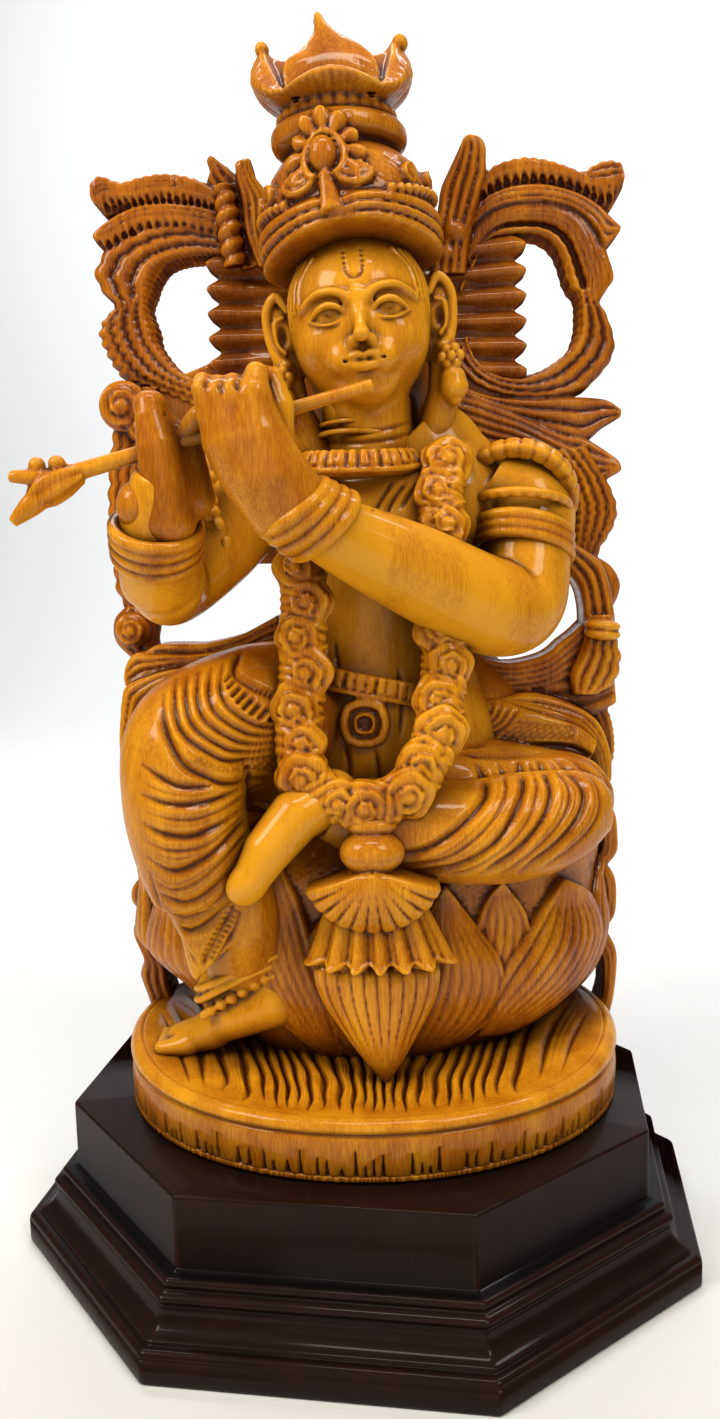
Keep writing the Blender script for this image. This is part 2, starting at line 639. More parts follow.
def bowl_point(angle, z, lift):
    """A point at an angle from the front and a height, lifted off the bowl."""
    heights, wide, deep = smooth_rows(BOWL_ROWS, 60).T
    half_wide = np.interp(z, heights, wide) + lift - drawn_in(angle, z)
    half_deep = np.interp(z, heights, deep) + lift
    return np.stack(
        [half_wide * np.sin(angle), SEAT_MIDDLE_Y - half_deep * np.cos(angle), z + 0 * angle], -1)


def bowl():
    rows = smooth_rows(BOWL_ROWS, 120)
    angle = np.linspace(0, FULL, 620, endpoint=False)[None]
    z, wide, deep = (rows[:, k:k + 1] for k in range(3))
    girth = angle * 66
    net = [np.abs(np.mod((girth + side * 1.4 * z) / NET_SPACING, 1) - 0.5) for side in (-1, 1)]
    cut = 0.8 * np.clip(1 - np.minimum(*net) / 0.16, 0, 1)
    cut = cut * soft_step(z, 64, 67) * (1 - soft_step(z, 91, 95))
    reed = 0.5 * scallops(girth, 2.6) * (1 - soft_step(z, 60, 64))
    lift = reed - cut + 0.8 * soft_step(z, 64, 65.5)
    points = np.stack([(wide + lift - drawn_in(angle, z)) * np.sin(angle),
                       SEAT_MIDDLE_Y - (deep + lift) * np.cos(angle), z + 0 * angle], -1)
    return loft(points)


# %% Petals
def petal(left, right, veins, lift):
    """A petal between two edges. Each edge runs from foot to tip as degrees round the bowl and height."""
    share = np.linspace(0, 1, 120)[:, None]
    v = np.linspace(-1, 1, 67)[None]
    left, right = smooth_rows(left, 120)[:, None], smooth_rows(right, 120)[:, None]
    across = (v[..., None] + 1) / 2
    spots = left + (right - left) * across
    angle, z = np.radians(spots[..., 0]), spots[..., 1]
    along = np.sin(math.pi * share ** 0.85) ** 0.6
    swell = lift * along * (1 - np.abs(v) ** 4)
    vein = 0.8 * (reeds(v, veins) - 1) * soft_step(share, 0.0, 0.1) * (1 - soft_step(share, 0.86, 0.97))
    rim = 0.8 * soft_step(np.abs(v), 0.8, 0.9) * (1 - soft_step(share, 0.9, 1.0))
    tip = 2.0 * soft_step(share, 0.8, 1.0)
    front = bowl_point(angle, z, 1.8 + swell + vein + rim + tip)
    back = bowl_point(angle[:, ::-6], z[:, ::-6], -2.5)
    return loft(np.concatenate([front, back], 1))


def plain_petal(middle):
    """A petal of the sides and back, where they are all alike."""
    left = [(middle - 3, 21), (middle - 13, 34), (middle - 15, 50), (middle - 9, 66), (middle + 2, 77)]
    right = [(middle + 3, 21), (middle + 15, 34), (middle + 17, 50), (middle + 12, 66), (middle + 2, 77)]
    return petal(left, right, 8, 4.0)


lotus_solids = [
    bowl(),
    petal([(26, 40), (24, 55), (25, 64), (27, 71), (31, 80)],
          [(33, 40), (39, 56), (40, 64), (37, 72), (31, 80)], 6, 1.5),
    petal([(-6, 20), (-15, 40), (-14, 62), (0, 86)], [(6, 20), (15, 40), (14, 62), (0, 86)], 9, 2.0),
    petal([(-14, 20), (-26, 40), (-31, 60), (-30, 76), (-22, 93)],
          [(-8, 20), (-8, 40), (-12, 60), (-16, 78), (-22, 93)], 9, 3.0),
    petal([(7, 19), (9, 42), (11, 56), (13, 69), (17, 81)],
          [(17, 19), (29, 28), (33, 40), (31.5, 52), (27, 62), (22, 72), (17, 81)], 9, 4.0),
    petal([(30, 25), (29, 40), (31, 50), (36, 58), (43, 66), (51, 77)],
          [(32, 25), (46, 24), (62, 32), (72, 44), (75, 56), (68, 67), (51, 77)], 11, 5.5)]
for middle in (84, 114, 146, 178, -150, -118, -88, -56):
    lotus_solids.append(plain_petal(middle))

# %% [markdown]
# The tassel
# A cord knot hangs over the front of the seat with a ribbed fan under it, then a pleated skirt with a wavy
# hem, and last a long closed bud with sharp reeds. Each is a loft whose radius or height carries the pleats.

# %% Tassel
TASSEL_MIDDLE = 3.0


def flat_ribs(place, share):
    """Flat ribs from 0 to 1 with narrow V cuts between them."""
    off = np.abs(np.mod(place, 1) - 0.5) * 2
    return 1 - np.clip((off - share) / (1 - share), 0, 1)


def tassel_fan():
    """A domed shell that opens downwards from under the knot, with ribs and a scalloped edge."""
    ribs, half_turn = 11, 1.22
    turn = np.linspace(-half_turn, half_turn, 300)[None]
    share = np.linspace(0.05, 1, 80)[:, None]
    place = ribs * (turn + half_turn) / (2 * half_turn)
    rib = flat_ribs(place, 0.66)
    edge = 1 + 0.03 * np.sqrt(np.abs(np.sin(math.pi * place)))
    x = TASSEL_MIDDLE - 0.5 + 22.5 * edge * share * np.sin(turn)
    z = 91.5 - 20.5 * edge * share * np.cos(turn)
    dome = 8.0 * np.sqrt(1.02 - share ** 2) ** 0.8 + 3.5 * np.cos(turn)
    front = np.stack([x, -44 - dome - 1.7 * (rib - 0.5) * share ** 0.5 + 0 * z, z], -1)
    back = front[:, ::-5] * [1, 0, 1] + [0, -39, 0.5]
    return loft(np.concatenate([front, back], 1))


def skirt():
    """Six box pleats under the fan, with a waved hem and a thick lip."""
    levels, around = 110, 420
    rows = smooth_rows([[84, 11, 5, 3, -41], [76, 15.5, 7.5, 3.2, -41], [66, 19.5, 9, 3.8, -41.5],
                        [58, 22.5, 10.5, 4.2, -42]], levels)
    angle = np.linspace(-math.pi, math.pi, around, endpoint=False)[None]
    z, wide, deep, x, y = (rows[:, k:k + 1] for k in range(5))
    fall = np.linspace(0, 1, levels)[:, None]
    place = 6 * (np.sin(angle) + 1) / 2 + 0.5 + (np.abs(angle) > math.pi / 2) * 20
    box = 0.5 - 0.5 * np.cos(FULL * place)
    cut = np.clip(1 - np.abs(np.mod(place + 0.24, 1) - 0.5) / 0.07, 0, 1)
    fine = 0.3 * scallops(place, 0.2)
    pleat = 3.0 * box ** 0.7 - 1.6 - 1.2 * cut + fine
    grow = pleat * (0.3 + 0.7 * fall) + 0.7 * soft_step(fall, 0.88, 0.93)
    low = z + 2.6 * (1 - box) * fall ** 5
    points = np.stack([x + (wide + grow) * np.sin(angle), y - (deep + grow) * np.cos(angle), low], -1)
    return loft(points)


def bud():
    """The closed bud at the end: broad reeds that run together at the point."""
    rows = smooth_rows([[59, 17, 6, 3, -41.5], [56, 20.5, 9, 3, -41.5], [47, 18.8, 9.5, 3.3, -41.5],
                        [36, 12.4, 8, 3.9, -42.5], [26, 5.6, 4.8, 4.7, -44.5],
                        [19.5, 0.8, 1, 5.2, -46]], 110)
    angle = np.linspace(-math.pi, math.pi, 420, endpoint=False)[None]
    place = 10 * (np.sin(angle) + 1) / 2
    reed = flat_ribs(place, 0.6) + 0.35 * flat_ribs(3 * place, 0.7)
    z, wide, deep, x, y = (rows[:, k:k + 1] for k in range(5))
    fall = np.linspace(0, 1, 110)[:, None]
    grow = 1.15 * (reed - 1) * np.minimum(wide / 6, 1) * soft_step(fall, 0.0, 0.12)
    points = np.stack(
        [x + (wide + grow) * np.sin(angle), y - (deep + grow) * np.cos(angle), z + 0 * angle], -1)
    return loft(points)


def knot():
    """The plain round knot, with one shallow curved cut low on its front."""
    def smile(up, angle):
        line = -0.05 - 0.12 * np.cos(angle)
        return -0.035 * np.exp(-(((up - line) / 0.05) ** 2)) * (np.cos(angle) > 0.3)
    return egg((2.5, -46.5, 95.5), (10.2, 8.5, 7.2), dents=smile)


tassel_solids = [knot(), egg((2.5, -44, 104), (8.5, 7, 4)), tassel_fan(), skirt(), bud()]
place_fused("lotus_seat", lotus_solids)
place_fused("seat_tassel", tassel_solids, FINEST_VOXEL)

# %% [markdown]
# Wax for the soft parts
# Face, hands and feet have no edges, so lofts are a poor start for them. They are built up like wax: a block
# of points holds the distance to the skin, and eggs and rods are added to it or scooped out of it, each one
# with its own soft seam. The block is turned into the same even quads as the fused lofts.

# %% Wax block
class Wax:
    """A block of points with the distance to the skin of everything added so far."""

    def __init__(self, low, high, step=VOXEL):
        self.low, self.step = np.asarray(low, float), step
        counts = np.ceil((np.asarray(high) - self.low) / step).astype(int)
        axes = [self.low[k] + step * np.arange(counts[k]) for k in range(3)]
        self.at = np.stack(np.meshgrid(*axes, indexing="ij"), -1).astype(np.float32)
        self.field = np.full(counts, 9.0, np.float32)

    def near(self, low, high, reach):
        first = np.maximum(((np.asarray(low) - reach - self.low) / self.step).astype(int) - 1, 0)
        last = ((np.asarray(high) + reach - self.low) / self.step).astype(int) + 2
        return tuple(slice(a, max(a, b)) for a, b in zip(first, last))

    def join(self, where, distance, blend, cut):
        sign = -1 if cut else 1
        old = sign * self.field[where]
        share = np.clip(0.5 + 0.5 * (old - distance) / blend, 0, 1)
        self.field[where] = sign * (old + (distance - old) * share - blend * share * (1 - share))

    def egg(self, middle, radii, blend=1.0, lean=0.0, cut=False):
        """A soft egg, leant sideways by lean."""
        middle, radii = np.asarray(middle, float), np.asarray(radii, float) + np.zeros(3)
        where = self.near(middle - radii.max(), middle + radii.max(), blend)
        p = self.at[where] - middle
        c, s = math.cos(lean), math.sin(lean)
        p = np.stack([c * p[..., 0] - s * p[..., 2], p[..., 1], s * p[..., 0] + c * p[..., 2]], -1)
        size = np.linalg.norm(p / radii, axis=-1) + 1e-6
        slope = np.linalg.norm(p / radii ** 2, axis=-1) + 1e-6
        self.join(where, size * (size - 1) / slope, blend, cut)

    def rod(self, keys, blend=1.0, cut=False):
        """A soft rod along keys of x, y, z, radius."""
        keys = np.asarray(keys, float)
        reach = keys[:, 3].max()
        where = self.near(keys[:, :3].min(0) - reach, keys[:, :3].max(0) + reach, blend)
        p = self.at[where]
        nearest = np.full(p.shape[:-1], 99.0)
        for start, end in zip(keys[:-1], keys[1:]):
            step = (end - start)[:3]
            share = np.clip((p - start[:3]) @ step / (step @ step + 1e-9), 0, 1)
            off = np.linalg.norm(p - start[:3] - share[..., None] * step, axis=-1)
            nearest = np.minimum(nearest, off - start[3] - share * (end - start)[3])
        self.join(where, nearest, blend, cut)

    def both_sides(self, tool, keys, blend=1.0, **settings):
        """The same wax on the left and on the right."""
        for side in (1, -1):
            mirrored = np.array(keys[0] if tool == self.egg else keys, float)
            mirrored[..., 0] *= side
            if tool == self.egg:
                lean = settings.get("lean", 0.0) * side
                rest = {key: value for key, value in settings.items() if key != "lean"}
                self.egg(mirrored, keys[1], blend, lean, **rest)
            else:
                self.rod(mirrored, blend, **settings)

    def skin(self):
        grid = openvdb.FloatGrid(9.0)
        grid.copyFromArray(self.field)
        points, quads = grid.convertToQuads(0.0)
        points = points.astype(float) * self.step + self.low
        return points, np.zeros((0, 3), int), quads.astype(np.int64)


# %% [markdown]
# Cuts drawn from the front
# The carver works from the front, and so do the folds here. A map of cuts is laid over the figure like a
# drawing on tracing paper: each line has a width and a depth. The points of a skin that face the front are
# then pushed in by the depth of the map at their place.

# %% Map of cuts
MAP_STEP = 0.3
MAP_LOW = np.array([-110.0, -2.0])
MAP_SIZE = (740, 1240)


class CutMap:
    """Depths over x and z as seen from the front."""

    def __init__(self):
        self.depth = np.zeros(MAP_SIZE, np.float32)

    def line(self, points, width, depth, taper=0.25):
        """One V cut along x, z points. It thins out at both ends."""
        points = np.asarray(points, float)
        path = smooth_rows(points, max(8, int(run_length(points)[-1] / 0.8)))
        share = np.linspace(0, 1, len(path))
        ends = soft_step(share, 0, taper + 1e-6) * (1 - soft_step(share, 1 - taper - 1e-6, 1))
        reach = int(width / MAP_STEP) + 1
        spots = ((path - MAP_LOW) / MAP_STEP).round().astype(int)
        offsets = np.arange(-reach, reach + 1)
        for (i, k), place, strength in zip(spots, path, 0.25 + 0.75 * ends):
            rows, cols = i + offsets, k + offsets
            x = MAP_LOW[0] + rows[:, None] * MAP_STEP - place[0]
            z = MAP_LOW[1] + cols[None] * MAP_STEP - place[1]
            cut = depth * strength * np.clip(1 - np.hypot(x, z) / (width * (0.5 + 0.5 * strength)), 0, 1)
            patch = self.depth[rows[0]:rows[-1] + 1, cols[0]:cols[-1] + 1]
            np.maximum(patch, cut, out=patch)

    def fan(self, first, last, count, width, depth):
        """Count cuts spread evenly from the first line to the last."""
        first, last = smooth_rows(first, 12), smooth_rows(last, 12)
        for share in np.linspace(0, 1, count):
            self.line(first + (last - first) * share, width, depth)

    def net(self, corners, count, slant, width, depth):
        """A diamond net of count meshes in a four-sided patch. The corners go round the patch."""
        a, b, c, d = (np.asarray(corner, float) for corner in corners)
        for side in (1, -1):
            for k in range(-slant, count + slant + 1):
                t = np.linspace(0, 1, 12)[:, None]
                u = (k + side * slant * (t - 0.5)) / count
                inside = ((u > -0.01) & (u < 1.01))[:, 0]
                if inside.sum() < 3:
                    continue
                path = (1 - t) * (a + (b - a) * u) + t * (d + (c - d) * u)
                self.line(path[inside], width, depth, 0.1)

    def at(self, points):
        spots = np.clip((points[:, [0, 2]] - MAP_LOW) / MAP_STEP, 0, np.array(MAP_SIZE) - 1.001)
        low = spots.astype(int)
        f = spots - low
        total = 0
        for i in (0, 1):
            for k in (0, 1):
                weight = np.abs(1 - i - f[:, 0]) * np.abs(1 - k - f[:, 1])
                total = total + weight * self.depth[low[:, 0] + i, low[:, 1] + k]
        return total

    def carve(self, points, quads):
        """The points pushed in by the map where the skin faces the front."""
        normals = point_normals(points, quads)
        facing = soft_step(-normals[:, 1], 0.05, 0.4)
        return points - normals * (facing * self.at(points))[:, None]


# %% [markdown]
# Legs, cloth and feet
# The right leg stands with its foot on the grass, the left leg lies across the seat. A thin cloth is wound
# round both, so its folds follow the limbs: fans of long cuts that start under the garland and run round the
# knee and down the shin.

# %% Leg forms
RIGHT_LEG = [
    [-14, 8, 130, 27, 30], [-38, -14, 132, 26, 27], [-54, -33, 129, 22, 22], [-57, -39, 113, 19.5, 20],
    [-55, -38, 95, 18.5, 19], [-53, -35, 82, 16, 17],
]
RIGHT_SHIN = [[-46, -32, 88, 14, 13], [-42, -29, 70, 13.5, 12], [-41, -26, 56, 14, 10],
              [-41, -24, 47, 14, 9]]
LEFT_LEG = [[8, 8, 114, 30, 28], [36, -2, 108, 27, 18], [58, -8, 104, 22, 17], [70, -8, 103, 18, 16],
            [78, -8, 103, 12, 13], [84, -7, 103, 4, 5]]
LEFT_SHIN = [[80, -16, 102, 7, 9], [70, -19, 101, 13, 15], [52, -25, 98, 17, 18], [30, -28, 97, 18, 17],
             [6, -30, 101, 16, 15], [-12, -35, 107, 9.5, 9.5]]
THIGH_CLOTH = [[30, 126, 12], [52, 125, 11], [68, 122, 10], [79, 117, 6]]
HEM_LOW, HEM_RISE = 52.0, 14.0  # the hem's lowest corner, and how far it rises from there
HEM_CORNER = math.radians(-28)


def shin_cloth():
    """The cloth that hangs from the knee round the shin, with a slanting hem that ends in a corner."""
    t = np.linspace(0, 1, 110)[:, None]
    angle = np.linspace(0, FULL, 200, endpoint=False)[None]
    from_corner = np.abs(np.mod(angle - HEM_CORNER + math.pi, FULL) - math.pi)
    hem = HEM_LOW + HEM_RISE * np.minimum(from_corner, 2.0) ** 0.9
    middle_x = np.interp(t, [0, 0.5, 1], [-57, -54, -48])
    middle_y = np.interp(t, [0, 0.5, 1], [-38, -35, -27])
    wide = np.interp(t, [0, 0.3, 0.7, 1], [16, 18, 14.5, 12])
    flare = 1.2 * soft_step(t, 0.75, 1)
    corner = 3.5 * t ** 3 * np.exp(-((from_corner / 0.35) ** 2))
    x = middle_x + (wide + flare + corner) * np.sin(angle)
    y = middle_y - (wide * 0.95 + flare + corner) * np.cos(angle)
    return loft(np.stack([x, y, 108 + (hem - 108) * t], -1))


def thigh_roll(mm, v):
    """One round roll of cloth over the thigh, which falls off to both edges."""
    return 3.0 * (reeds(v, 1) - 1) - 3.0 * np.abs(v) ** 3 + 0 * mm


limb = round_section(around=64)
leg_solids = [
    sweep(RIGHT_LEG, limb, unit(np.array([-0.3, -0.5, 0.6]))),
    sweep(RIGHT_SHIN, limb), shin_cloth(), sweep(LEFT_LEG, limb, UP), sweep(LEFT_SHIN, limb, UP)]
thigh_cloth = [(x, 12, z, wide, 14) for x, z, wide in THIGH_CLOTH]
leg_solids.append(sweep(thigh_cloth, band_section(thigh_roll, across=41)))

# %% Feet
def ease(keys, count=14):
    """A few keys eased to a smooth rod."""
    return smooth_rows(keys, count)


def toes(wax, start, side, along, radii):
    """Toes side by side: from start, spread over side, each pointing along."""
    for k, radius in enumerate(radii):
        base = np.asarray(start, float) + np.asarray(side, float) * k / (len(radii) - 1)
        tip = base + np.asarray(along, float) * (0.75 + 0.25 * radius / max(radii))
        wax.rod([[*base, radius * 0.95], [*tip, radius * 0.85]], 0.9)


standing = Wax((-84, -46, 12), (-14, -4, 70))
standing.rod(
    [[-32.5, -27, 39.5, 8.6], [-46, -25.5, 33.5, 7.4], [-58, -21.5, 27, 5.8], [-66, -19, 24.4, 4.4]], 4)
standing.rod([[-33, -24, 52, 9.0], [-50, -23, 43, 8.6]], 4)
toes(standing, (-63, -25.5, 23.2), (-2, 13, 0), (-8.5, 0.5, -0.8), (3.2, 2.7, 2.5, 2.3, 2.1))
standing.rod([[-54, -24, 27, 5.0], [-64, -23.5, 23.6, 3.6]], 3)
# Two bands and a row of beads lie over the instep.
standing.rod(ease([[-58.5, -25, 43.6, 1.3], [-55, -31, 46.2, 1.3], [-43, -33.4, 52.4, 1.4],
                   [-31, -33, 57.2, 1.3], [-25, -28, 57.5, 1.2]]), 0.6)
standing.rod(ease([[-58.8, -25, 39.8, 1.2], [-56, -31, 42.0, 1.2], [-46.5, -33.4, 47.6, 1.3],
                   [-34, -33.4, 53.4, 1.2], [-25, -29, 54.5, 1.2]]), 0.6)
for x, z in smooth_rows([(-55, 37.0), (-46, 42.8), (-34.6, 49.6), (-27, 51)], 10):
    standing.egg((x, -31.6 - 1.2 * math.sin(math.pi * (x + 57) / 32), z), (1.8, 1.8, 1.8), 0.5)
resting = Wax((-54, -66, 70), (0, -24, 126))
resting.rod([[-10, -38, 112, 8.5], [-21, -44, 107, 8.6], [-30, -48, 97, 7.6], [-35, -50.5, 89, 6.0]], 3)
resting.egg((-37.5, -51.5, 86), (5.6, 4.6, 5.4), 3)
for k in range(4):
    gap = [[-42.5 + 3.2 * k, -57.5 + 0.6 * k, 84 - 1.0 * k, 0.5], [-39 + 3.2 * k, -57.5, 89.5 - k, 0.3]]
    resting.rod(gap, 0.7, cut=True)
foot_solids = [standing.skin(), resting.skin()]

# %% Folds of the cloth
cloth_cuts = CutMap()
cut = cloth_cuts.line
# From the waist down to the garland, the folds hang in a fan.
cloth_cuts.fan([(-44, 154), (-43, 147), (-39, 141), (-31, 135), (-22, 134)],
               [(-58, 150), (-57, 144), (-54, 136), (-47, 130), (-38, 125), (-22, 125)], 5, 1.9, 1.9)
cut([(-61, 146), (-60, 139), (-57, 132), (-53, 126), (-47, 122), (-39, 118), (-24, 117)], 2.2, 2.2)
cut([(-40, 157), (-40, 152), (-35, 148), (-24, 142)], 1.8, 1.8, 0.1)
for t in np.linspace(0.08, 0.95, 9):
    x, z = smooth_rows([(-42, 152), (-38, 145.5), (-32, 139.5), (-24, 136)], 101)[int(100 * t)]
    cut([(x - 1.0, z - 0.9), (x + 1.1, z + 1.3)], 1.5, 1.7, 0.0)
cloth_cuts.net([(-51, 124.5), (-24, 118.5), (-24, 123.5), (-49, 128.5)], 10, 2, 0.75, 0.8)
# Round the knee and down the shin, each fold hangs in a wide curve.
KNEE_FOLDS = (
    [(-66, 126), (-57, 120.5), (-50, 119), (-39, 119.5)],
    [(-66, 121), (-59, 118), (-51, 116.8), (-40, 117), (-31, 117)],
    [(-66, 117), (-58, 114.5), (-50, 114), (-42, 115), (-34, 117)],
    [(-65, 112), (-58, 110), (-51, 109.4), (-43, 111), (-35, 114), (-28, 117)],
    [(-66, 108), (-60, 105), (-52, 104), (-45, 106), (-38, 109)],
    [(-67, 103), (-59, 100), (-51, 100), (-45, 102), (-38, 106.5), (-30, 112)],
    [(-66, 97), (-59, 93), (-52, 94.5), (-44, 99), (-37, 105), (-29, 111)],
    [(-65, 90), (-59, 86.5), (-51, 89), (-43, 95), (-37, 101), (-30, 107)],
    [(-64, 85), (-57, 81.5), (-49, 84), (-41, 91)],
    [(-62, 79), (-57, 75.5), (-50, 78), (-43, 84), (-38, 89)],
    [(-61, 73), (-56, 70), (-49, 73), (-43, 79)],
)


def cut_folds(folds, width, depth, taper):
    """Wide and narrow folds by turns, and the fine lines that the gouge leaves between them."""
    for k, fold in enumerate(folds):
        cut(fold, (width, 1.4)[k % 2], (depth, 1.0)[k % 2], taper)
    for first, last in zip(folds[:-1], folds[1:]):
        first, last = smooth_rows(first, 12), smooth_rows(last, 12)
        for share in (0.36, 0.64):
            cut(first + (last - first) * share, 0.8, 0.6, 0.35)


cut_folds(KNEE_FOLDS, 2.3, 2.0, 0.3)
# A net and a beaded border run down to the corner of the hem.
for t in np.linspace(0.04, 0.96, 10):
    x, z = -51.5 + 9.5 * t, 60 + 17 * t
    cut([(x - 1.6, z + 0.9), (x + 1.6, z - 0.9)], 0.9, 1.1, 0.0)
cut([(-49.5, 57.5), (-43.5, 67.5), (-40, 76)], 1.0, 1.1, 0.1)
cut([(-53, 58), (-46, 70), (-42, 78)], 1.3, 1.3, 0.1)
cut([(-66, 92), (-65, 78), (-61, 66), (-56, 56)], 1.6, 1.4)
cut([(-63, 78), (-59, 66), (-54.5, 58)], 1.2, 1.0)
# On the left thigh the folds start along the crest of the knee and sweep down to the middle.
THIGH_FOLDS = (
    [(37, 119), (39, 113), (36, 108), (28, 101), (18, 95), (8, 93)],
    [(44, 119), (45.5, 113), (42, 106), (34, 98), (24, 92), (12, 90)],
    [(51, 119), (51, 113), (47, 105), (40, 96), (28, 89), (17, 87.5)],
    [(54.5, 119), (55.5, 113), (52, 104), (44, 95), (33, 88), (24, 86)],
    [(57.5, 119), (60, 112), (57, 104), (48, 94), (37, 86.5)],
    [(60.5, 119), (66, 112), (64, 104), (54, 94), (43, 85.5)],
    [(63.5, 119), (71, 112), (70, 104), (61, 94.5), (49, 86)],
    [(67, 119.5), (76, 112), (76, 102), (67, 93), (56, 86.5)],
)
cut_folds(THIGH_FOLDS, 2.4, 2.1, 0.15)
cut([(32, 121.5), (45, 120.5), (60, 120.5), (72, 119.5), (80, 114), (84, 106)], 1.6, 1.8, 0.1)
cloth_cuts.net([(46, 123), (72, 122), (74, 127), (52, 130)], 9, 2, 0.8, 0.9)
cloth_cuts.fan([(30, 129), (38, 128.5), (43, 131.5), (45, 136)],
               [(32, 123), (42, 124), (49, 127.5), (54, 134)], 4, 1.3, 1.4)
cloth_cuts.fan([(48, 136.5), (63, 132), (77, 126.5), (86, 117)],
               [(58, 136), (72, 134), (82, 127), (88, 118)], 3, 1.4, 1.4)
place_fused("legs_and_cloth", leg_solids, finish=cloth_cuts.carve)
place_fused("feet", foot_solids, FINE_VOXEL)

# %% [markdown]
# Torso, arms and hands
# Bare skin is the smoothest part of the block. Torso and arms are long lofts. The hands are wax: a palm and
# four fingers that close round the flute, and a thumb under it.

# %% Torso and arms
TORSO = [
    [0, 10, 100, 44, 30], [2, 7, 122, 45, 31], [3, 7, 142, 39, 29], [5, 6, 163, 31, 23], [6, 5, 180, 32, 22],
    [7, 4, 196, 39, 23], [9, 4, 208, 45, 20], [8, 5, 217, 36, 15], [4, 4, 224, 18, 14], [3, 1, 240, 15, 14],
]
LEFT_ARM = [
    [46, 5, 211, 15, 15], [57, 3, 204, 16, 16], [56, -4, 186, 15, 15], [53, -11, 171, 15, 15],
    [42, -19, 170, 16, 16], [18, -32, 182, 14.5, 14.5], [-4, -43, 193, 11.5, 11], [-18, -50, 202, 10, 9],
    [-25, -53, 211, 11, 9],
]
RIGHT_ARM = [
    [-22, 5, 211, 14, 15], [-38, 3, 205, 15.5, 16], [-50, -3, 192, 15, 15], [-61, -13, 181, 13.5, 14],
    [-63, -26, 182, 13, 14], [-62, -38, 192, 12.5, 12], [-60, -45, 203, 11, 9], [-57, -48, 212, 9, 8],
]
body_solids = [
    sweep(TORSO, limb),
    sweep(LEFT_ARM, limb, unit(np.array([-0.2, -1, 0.1]))),
    sweep(RIGHT_ARM, limb, unit(np.array([-0.1, -1, 0.5]))),
]

# %% Hands
left_hand = Wax((-56, -74, 186), (-4, -34, 252), 0.55)
left_hand.rod(
    [[-37.5, -57, 231, 7.2], [-35.5, -57.5, 221, 8.0], [-30.5, -56, 211, 8.6], [-23, -52, 201, 9.4]], 3)
left_hand.rod([[-29, -58, 231, 6.6], [-27, -58, 222, 8.0], [-22.5, -56, 212, 9.2], [-15, -51, 200, 9.8]], 4)
for k, (x, z) in enumerate([(-42.6, 235.0), (-38.2, 234.2), (-33.8, 234.6)]):
    left_hand.rod(
        [[x + 1.5, -60, z - 7, 3.2], [x, -61.4, z, 2.6], [x, -57, z + 2.6, 2.8], [x + 0.6, -48, z + 1, 2.9]],
        1.4)
    left_hand.egg((x + 2.2, -64.5, z + 2.2), (1.5, 3.0, 3.4), 0.8, cut=True)
for x, z in ((-40.4, 233), (-36.0, 232.5), (-31.4, 232)):
    left_hand.rod(
        [[x, -65.6, z + 1, 0.7], [x + 1.2, -66.4, z - 5, 0.7], [x + 2.8, -66.6, z - 11, 0.3]], 0.6, cut=True)
left_hand.rod(
    [[-28.5, -60, 226, 5.0], [-27.5, -60, 234, 4.4], [-27, -57.5, 239.4, 3.4], [-26.4, -52, 240, 2.8]], 1.8)
left_hand.rod([[-22, -52, 220, 4.8], [-21, -53, 231, 4.2], [-23, -53, 239, 3]], 2)
right_hand = Wax((-82, -66, 188), (-36, -32, 252), 0.55)
right_hand.rod(
    [[-59.6, -50, 229, 4.8], [-58, -50, 221, 6.3], [-56.6, -48.5, 210, 7.4], [-56.5, -46, 199, 8.4]], 2.5)
right_hand.egg((-65.6, -46, 204), (6.4, 7.4, 7.6), 2.5, lean=0.15)
right_hand.egg((-60, -48, 233), (4.9, 5.2, 4.4), 1.2)
right_hand.rod([[-64.5, -50, 229, 0.8], [-60, -53.5, 228.2, 0.8], [-55.5, -51, 229.5, 0.8]], 0.6, cut=True)
for x in (-61.6, -58.2):
    right_hand.rod(
        [[x, -56.6, 226, 0.6], [x + 0.6, -57.2, 218, 0.6], [x + 1.0, -57.0, 211, 0.3]], 0.6, cut=True)
right_hand.rod([[-57, -46, 229, 3.2], [-51, -47, 224.5, 2.8], [-45, -50, 229, 3.4]], 2.5)
right_hand.rod([[-50.5, -43, 220, 5], [-49, -43, 206, 6.5]], 3)
hand_solids = [left_hand.skin(), right_hand.skin()]

# %% Bracelets, armlets and belt
def limb_ring(keys, share, radius, thick, tilt=(0, 0, 0)):
    """A ring round a limb at a share of its length."""
    rows = smooth_rows(keys, 201)
    k = int(share * 200)
    along = unit(rows[min(k + 3, 200), :3] - rows[max(k - 3, 0), :3]) + np.asarray(tilt, float)
    return hoop(rows[k, :3], along, radius, thick)


jewel_solids = []
for k in range(4):
    jewel_solids.append(limb_ring(LEFT_ARM, 0.795 + 0.028 * k, 12.0 - 0.3 * k, 2.5, (0.1, 0, 0.3)))
    jewel_solids.append(limb_ring(RIGHT_ARM, 0.70 + 0.03 * k, 12.9, 2.0))
for lift in (-3.0, 0.0, 3.0):
    jewel_solids.append(hoop(np.array([54.5, -3.5, 190.5 + lift]), (0.17, 0.41, 1), 16.2, 2.0))


def square_tabs(mm, angle):
    """Square tabs with narrow cuts between them."""
    gap = np.clip(1 - np.abs(np.mod(mm / 4.6, 1) - 0.5) / 0.12, 0, 1)
    return 0.5 - 1.3 * gap - 0.35 * np.cos(4 * angle)


def nicked(mm, angle):
    return -0.6 * teeth(mm, 4.2) * (np.sin(angle) < 0)


jewel_solids.append(hoop(np.array([54.0, 0.5, 207.0]), (0.21, 0.78, 0.57), 17.6, 2.7, square_tabs))
jewel_solids.append(hoop(np.array([54.5, -3.0, 203.0]), (0.08, 0.22, 1), 15.6, 1.9, nicked))
